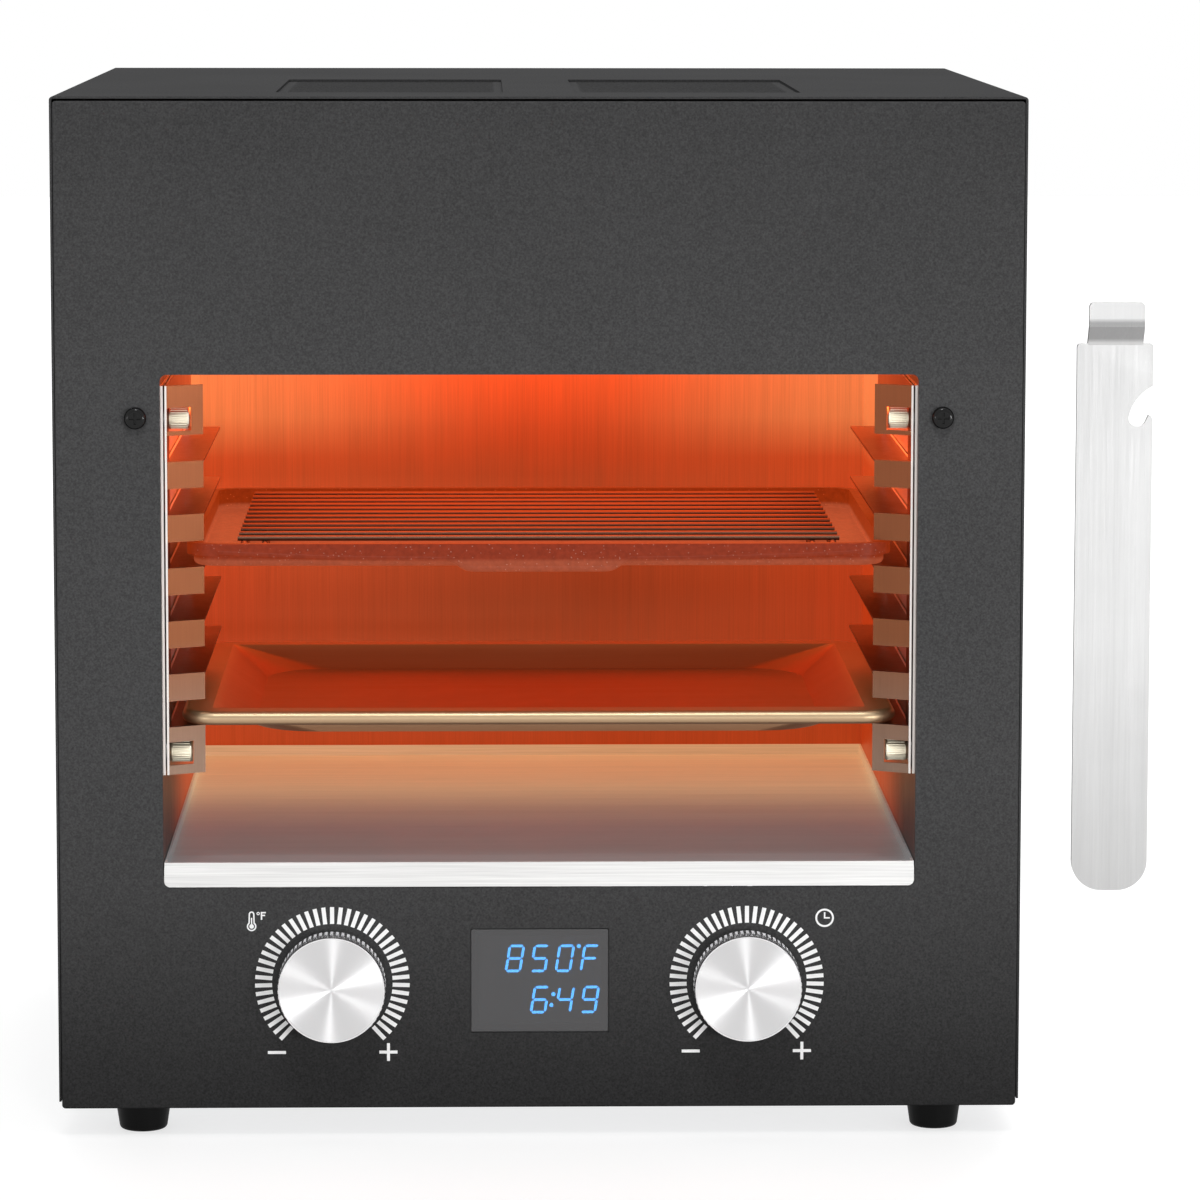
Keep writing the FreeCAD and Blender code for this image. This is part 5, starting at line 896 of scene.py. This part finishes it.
class GRILL_OT_printed_marks(GrillOperator, bpy.types.Operator):
    """Prints the rings of ticks, the signs and the two pictograms on the front panel"""

    bl_idname = "grill.printed_marks"
    bl_label = "Printed marks"

    def execute(self, context):
        ring = context.scene.grill_print
        ink = white_ink()
        sign_beside, sign_level, sign_half, sign_stroke = 20.3 * MM, 20.7 * MM, 3.3 * MM, 1.1 * MM
        for side in ("temperature", "time"):
            low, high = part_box(side + "_knob_body")
            x, z = (low.x + high.x) / 2, (low.z + high.z) / 2
            axis = Vector((x, z))
            marks = self.start_marks()
            for index in range(ring.ticks):
                angle = math.pi / 2 + ring.sweep * (index / (ring.ticks - 1) - 0.5)
                out = Vector((math.cos(angle), math.sin(angle)))
                marks.stroke([axis + out * ring.inner, axis + out * ring.outer], ring.width)
            minus, plus = x - sign_beside, x + sign_beside
            for points in (
                [(minus - sign_half, sign_level), (minus + sign_half, sign_level)],
                [(plus - sign_half, sign_level), (plus + sign_half, sign_level)],
                [(plus, sign_level - sign_stroke / 2), (plus, sign_level - sign_half)],
                [(plus, sign_level + sign_stroke / 2), (plus, sign_level + sign_half)],
            ):
                marks.stroke(points, sign_stroke)
            marks.piece(side + "_scale", ink, "white_ink")
        self.thermometer().piece("temperature_pictogram", ink, "white_ink")
        self.clock().piece("time_pictogram", ink, "white_ink")
        return {"FINISHED"}

    def start_marks(self):
        return RaisedMarks(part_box("front_panel")[0].y, 0.05 * MM)

    def thermometer(self):
        """A thermometer with a degree sign and an F beside it."""
        marks = self.start_marks()
        x, low, high = -104.6 * MM, 65.6 * MM, 72.9 * MM
        bulb, stem, glass, drop, column = 1.75 * MM, 1.05 * MM, 0.5 * MM, 0.85 * MM, 0.45 * MM
        centre = low + bulb
        open_angle = math.asin(stem / bulb)
        outline = circle_points(x, centre, bulb - glass / 2, 18, math.pi / 2 + open_angle,
                                2 * math.pi - 2 * open_angle)
        top = circle_points(x, high - stem, stem - glass / 2, 9, 0, math.pi)
        marks.stroke(outline + top, glass, closed=True)
        marks.polygon(circle_points(x, centre, drop, 16)[::-1])
        marks.stroke([(x, centre + 0.8 * MM), (x, high - 2.4 * MM)], column)
        x, low, high = -101.0 * MM, 69.8 * MM, 72.7 * MM
        upright, arm, ring = 0.55 * MM, 0.5 * MM, 0.3 * MM
        marks.stroke([(x, low), (x, high)], upright)
        for z, length in ((high - 0.27 * MM, 1.6 * MM), (low + (high - low) * 0.55, 1.3 * MM)):
            marks.stroke([(x + 0.27 * MM, z), (x + length, z)], arm)
        marks.stroke(circle_points(x - 1.2 * MM, high - 0.6 * MM, 0.45 * MM, 14), ring, closed=True)
        return marks

    def clock(self):
        """A clock face with two hands."""
        marks = self.start_marks()
        x, z, radius, rim, hand = 103.7 * MM, 69.9 * MM, 3.05 * MM, 0.7 * MM, 0.55 * MM
        marks.stroke(circle_points(x, z, radius, 40), rim, closed=True)
        marks.stroke([(x, z + 2.1 * MM), (x, z), (x + 1.9 * MM, z)], hand)
        return marks


SEGMENTS = {
    "0": "abcdef", "1": "bc", "2": "abdeg", "3": "abcdg", "4": "bcfg", "5": "acdfg", "6": "acdefg",
    "7": "abc", "8": "abcdefg", "9": "abcdfg", "F": "aefg", "C": "adef", " ": "",
}


class GRILL_OT_display(GrillOperator, bpy.types.Operator):
    """Finishes the display and lights its digits"""

    bl_idname = "grill.display"
    bl_label = "Display"

    def execute(self, context):
        display = context.scene.grill_display
        finish(window_glass(), "display_window")
        finish(grained("Dark module", (0.02, 0.02, 0.022), 0.5, 400, relief=0.02), "display_module")
        digits = RaisedMarks(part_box("display_module")[0].y - 0.25 * MM, 0.1 * MM)
        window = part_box("display_window")
        middle = (window[0].z + window[1].z) / 2
        upper, lower = middle + 7.6 * MM, middle - 7.7 * MM
        first, pitch, dot_radius = -9.0 * MM, 9.1 * MM, 0.75 * MM
        for row, z in ((display.upper_row, upper), (display.lower_row, lower)):
            for index, letter in enumerate(row):
                self.light_digit(digits, display, letter, first + pitch * index, z)
        colon = ((5.0 * MM, lower + 2.0 * MM), (4.3 * MM, lower - 2.0 * MM))
        degree = (14.3 * MM, upper + display.digit_height / 2 - 0.6 * MM)
        for x, z in (*colon, degree):
            digits.polygon(circle_points(x, z, dot_radius, 14)[::-1])
        lit = glowing("Lit segments", display.colour, 46.0, (0.02, 0.1, 0.2))
        digits.piece("display_digits", lit, "lit_segments")
        return {"FINISHED"}

    def light_digit(self, digits, display, letter, x, z):
        half_w, half_h = display.digit_width / 2, display.digit_height / 2
        stroke, gap = display.stroke, 0.18 * MM
        inner_w, inner_h = half_w - stroke / 2, half_h - stroke / 2
        ends = {
            "a": ((-inner_w, inner_h), (inner_w, inner_h)),
            "b": ((inner_w, inner_h), (inner_w, 0)),
            "c": ((inner_w, 0), (inner_w, -inner_h)),
            "d": ((-inner_w, -inner_h), (inner_w, -inner_h)),
            "e": ((-inner_w, 0), (-inner_w, -inner_h)),
            "f": ((-inner_w, inner_h), (-inner_w, 0)),
            "g": ((-inner_w, 0), (inner_w, 0)),
        }
        lean = math.tan(display.slant)
        for name in SEGMENTS[letter]:
            start, end = (Vector(p) for p in ends[name])
            along = (end - start).normalized()
            side = Vector((-along.y, along.x))
            a, b = start + along * gap, end - along * gap
            taper = stroke / 2
            points = [a, a + (along + side) * taper, b + (side - along) * taper, b,
                      b - (along + side) * taper, a + (along - side) * taper]
            leaned = [(x + p.x + p.y * lean, z + p.y) for p in points]
            digits.polygon(leaned[::-1])


class GRILL_OT_electronics(GrillOperator, bpy.types.Operator):
    """Finishes the boards, the relay, the transformer and their small parts"""

    bl_idname = "grill.electronics"
    bl_label = "Electronics"

    def execute(self, context):
        finish(circuit_board(), "control_board", "power_board")
        finish(bright_metal("Turned brass", (0.72, 0.53, 0.25), 0.28), "board_standoffs")
        finish(grained("White moulded plastic", (0.66, 0.65, 0.60), 0.45, 1500), "power_board_standoffs",
               "terminal_block")
        finish(grained("Relay case", (0.02, 0.05, 0.18), 0.35, 1500), "power_relay")
        core = brushed("Laminated core", (0.16, 0.15, 0.14), 0.45, ALONG_X, contrast=0.8, lines=900)
        finish(core, "power_transformer")
        sink = brushed("Extruded aluminium", (0.7, 0.7, 0.71), 0.34, ALONG_Z, contrast=0.2)
        finish(sink, "heat_sink")
        return {"FINISHED"}


class GRILL_OT_fasteners(GrillOperator, bpy.types.Operator):
    """Blackens the screws of the front, the rear and the fan"""

    bl_idname = "grill.fasteners"
    bl_label = "Fasteners"

    def execute(self, context):
        black = grained("Black oxide screw", (0.004, 0.004, 0.004), 0.14, 1800, mottling=0.2,
                        Specular_IOR_Level=0.22)
        finish(black, "front_screws", "rear_screws", "fan_screws")
        return {"FINISHED"}


class GRILL_OT_tray_handle(GrillOperator, bpy.types.Operator):
    """Finishes the loose tray handle"""

    bl_idname = "grill.tray_handle"
    bl_label = "Tray handle"

    def execute(self, context):
        steel, tree, shader, _ = brushed_sheet("Handle steel", 0.2, ALONG_Z, anisotropy=0.2)
        low, high = (corner.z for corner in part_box("tray_handle"))
        zone = effect(tree, "Painted light zone", {"Low": low, "High": high})
        grain = effect(tree, "Brushed lines", {"Stretch": ALONG_Z, "Lines per metre": 1500, "Contrast": 0.3})
        # Painted shade: darker toward the foot, with a dark band near the top where the bend turns from the
        # light.
        tone = ramp(tree, zone["Along"], [
            (0.0, 0.49), (0.2, 0.54), (0.45, 0.605), (0.93, 0.61), (0.936, 0.32), (0.966, 0.32),
            (0.972, 0.64),
        ])
        tree.links.new(tinted(tree, tone, grain["Tone"]), shader["Base Color"])
        finish(steel, "tray_handle")
        return {"FINISHED"}


class GRILL_OT_stage(GrillOperator, bpy.types.Operator):
    """Sets the pale floor, the soft lamps and the camera"""

    bl_idname = "grill.stage"
    bl_label = "Stage"

    def execute(self, context):
        stage = context.scene.grill_stage
        self.lay_floor(context, stage)
        self.set_world(context)
        self.hang_lamps(context)
        self.set_camera(context, stage)
        context.scene.view_settings.view_transform = "Standard"
        return {"FINISHED"}

    def seen_rays(self, tree):
        """1 for rays that show the backdrop and 0 for those that light the object."""
        path = place(tree, "LightPath").outputs
        mirrored = math_node(tree, "MAXIMUM", path["Is Glossy Ray"], path["Is Transmission Ray"])
        return math_node(tree, "MAXIMUM", path["Is Camera Ray"], mirrored)

    def lay_floor(self, context, stage):
        half_side, fade = 6.0, 4.0
        shape = bmesh.new()
        bmesh.ops.create_grid(shape, x_segments=8, y_segments=8, size=half_side)
        bmesh.ops.translate(shape, verts=shape.verts, vec=(0, 0, stage.floor_level))
        mesh = finished_mesh(shape)
        mesh.name = "floor"
        floor = bpy.data.objects.new("floor", mesh)
        context.collection.objects.link(floor)
        material, tree, shader = start_material("Pale floor", Roughness=0.6, Specular_IOR_Level=0.2,
                                                Emission_Color=(1, 1, 1, 1))
        here = object_place(tree)
        mottle = place(tree, "TexNoise", {"Vector": here, "Scale": 3.0, "Detail": 4.0}).outputs["Fac"]
        tone = math_node(tree, "MULTIPLY_ADD", mottle, 0.02, 0.34)
        tree.links.new(tinted(tree, (1, 1, 1), tone), shader["Base Color"])
        away = math_node(tree, "DIVIDE", vector_node(tree, "LENGTH", here), fade)
        whiter = ramp(tree, away, [(0.1, 0.68), (0.6, 0.86)])
        lift = math_node(tree, "MULTIPLY", self.seen_rays(tree), whiter)
        tree.links.new(lift, shader["Emission Strength"])
        mesh.materials.append(material)

    def set_world(self, context):
        lighting, backdrop = 0.66, 1.0
        world = bpy.data.worlds.new("Studio")
        world.use_nodes = True
        tree = world.node_tree
        tree.nodes.clear()
        lit, white = (
            place(tree, "Background", {"Color": (1, 1, 1, 1), "Strength": strength}).outputs["Background"]
            for strength in (lighting, backdrop)
        )
        both = place(tree, "MixShader", {0: self.seen_rays(tree), 1: lit, 2: white})
        place(tree, "OutputWorld", {"Surface": both.outputs[0]})
        context.scene.world = world

    def hang_lamps(self, context):
        target = Vector((0, -0.1, 0.2))
        for name, place_at, size, power in (
            ("right_strip", (1.45, -2.35, 0.16), (0.9, 0.3), 21),
            ("left_strip", (-1.45, -2.35, 0.16), (0.9, 0.3), 5),
            ("front_top_softbox", (0.0, -1.3, 2.1), (0.4, 0.4), 13),
            ("overhead_softbox", (0.0, 0.4, 2.3), (1.8, 1.8), 18),
            ("rear_softbox", (0.6, 2.2, 1.6), (1.5, 1.5), 18),
        ):
            holder = self.area_lamp(context, name, place_at, size, power)
            holder.rotation_euler = (target - Vector(place_at)).to_track_quat("-Z", "Y").to_euler()
        under_tubes = (0, -0.05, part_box("heater_reflector")[0].z + 4 * MM)
        tubes = self.area_lamp(context, "tube_glow", under_tubes, (0.24, 0.19), 0.7)
        tubes.data.color = (1.0, 0.16, 0.04)

    def area_lamp(self, context, name, place_at, size, power):
        lamp = bpy.data.lights.new(name, "AREA")
        lamp.shape = "RECTANGLE"
        lamp.size, lamp.size_y = size
        lamp.energy = power
        holder = bpy.data.objects.new(name, lamp)
        holder.location = place_at
        context.collection.objects.link(holder)
        return holder

    def set_camera(self, context, stage):
        data = bpy.data.cameras.new("camera")
        data.sensor_width = 36
        data.lens = stage.lens
        data.shift_y = stage.shift
        data.clip_start, data.clip_end = 0.05, 50
        camera = bpy.data.objects.new("camera", data)
        camera.location = stage.camera_place
        facing = Euler((math.pi / 2 - stage.pitch, 0, -stage.yaw)).to_matrix()
        camera.rotation_euler = (facing @ Matrix.Rotation(stage.roll, 3, "Z")).to_euler()
        context.collection.objects.link(camera)
        context.scene.camera = camera


OPERATORS = [
    GRILL_OT_stage,
    GRILL_OT_cabinet_shell,
    GRILL_OT_underside,
    GRILL_OT_cavity,
    GRILL_OT_racks,
    GRILL_OT_trays,
    GRILL_OT_heater,
    GRILL_OT_knobs,
    GRILL_OT_printed_marks,
    GRILL_OT_display,
    GRILL_OT_electronics,
    GRILL_OT_fasteners,
    GRILL_OT_tray_handle,
]


class GRILL_PT_pieces(bpy.types.Panel):
    """The pieces of the grill"""

    bl_idname = "GRILL_PT_pieces"
    bl_label = "Infrared steak grill"
    bl_space_type = "VIEW_3D"
    bl_region_type = "UI"
    bl_category = "Grill"

    def draw(self, context):
        for operator in OPERATORS:
            self.layout.operator(operator.bl_idname)


def register():
    for settings in SETTINGS.values():
        bpy.utils.register_class(settings)
    for name, settings in SETTINGS.items():
        setattr(bpy.types.Scene, name, bpy.props.PointerProperty(type=settings))
    for operator in OPERATORS:
        bpy.utils.register_class(operator)
    bpy.utils.register_class(GRILL_PT_pieces)


def unregister():
    bpy.utils.unregister_class(GRILL_PT_pieces)
    for operator in reversed(OPERATORS):
        bpy.utils.unregister_class(operator)
    for name, settings in SETTINGS.items():
        delattr(bpy.types.Scene, name)
        bpy.utils.unregister_class(settings)


def main():
    register()
    for operator in OPERATORS:
        family, name = operator.bl_idname.split(".")
        getattr(getattr(bpy.ops, family), name)()


if __name__ == "__main__":
    main()
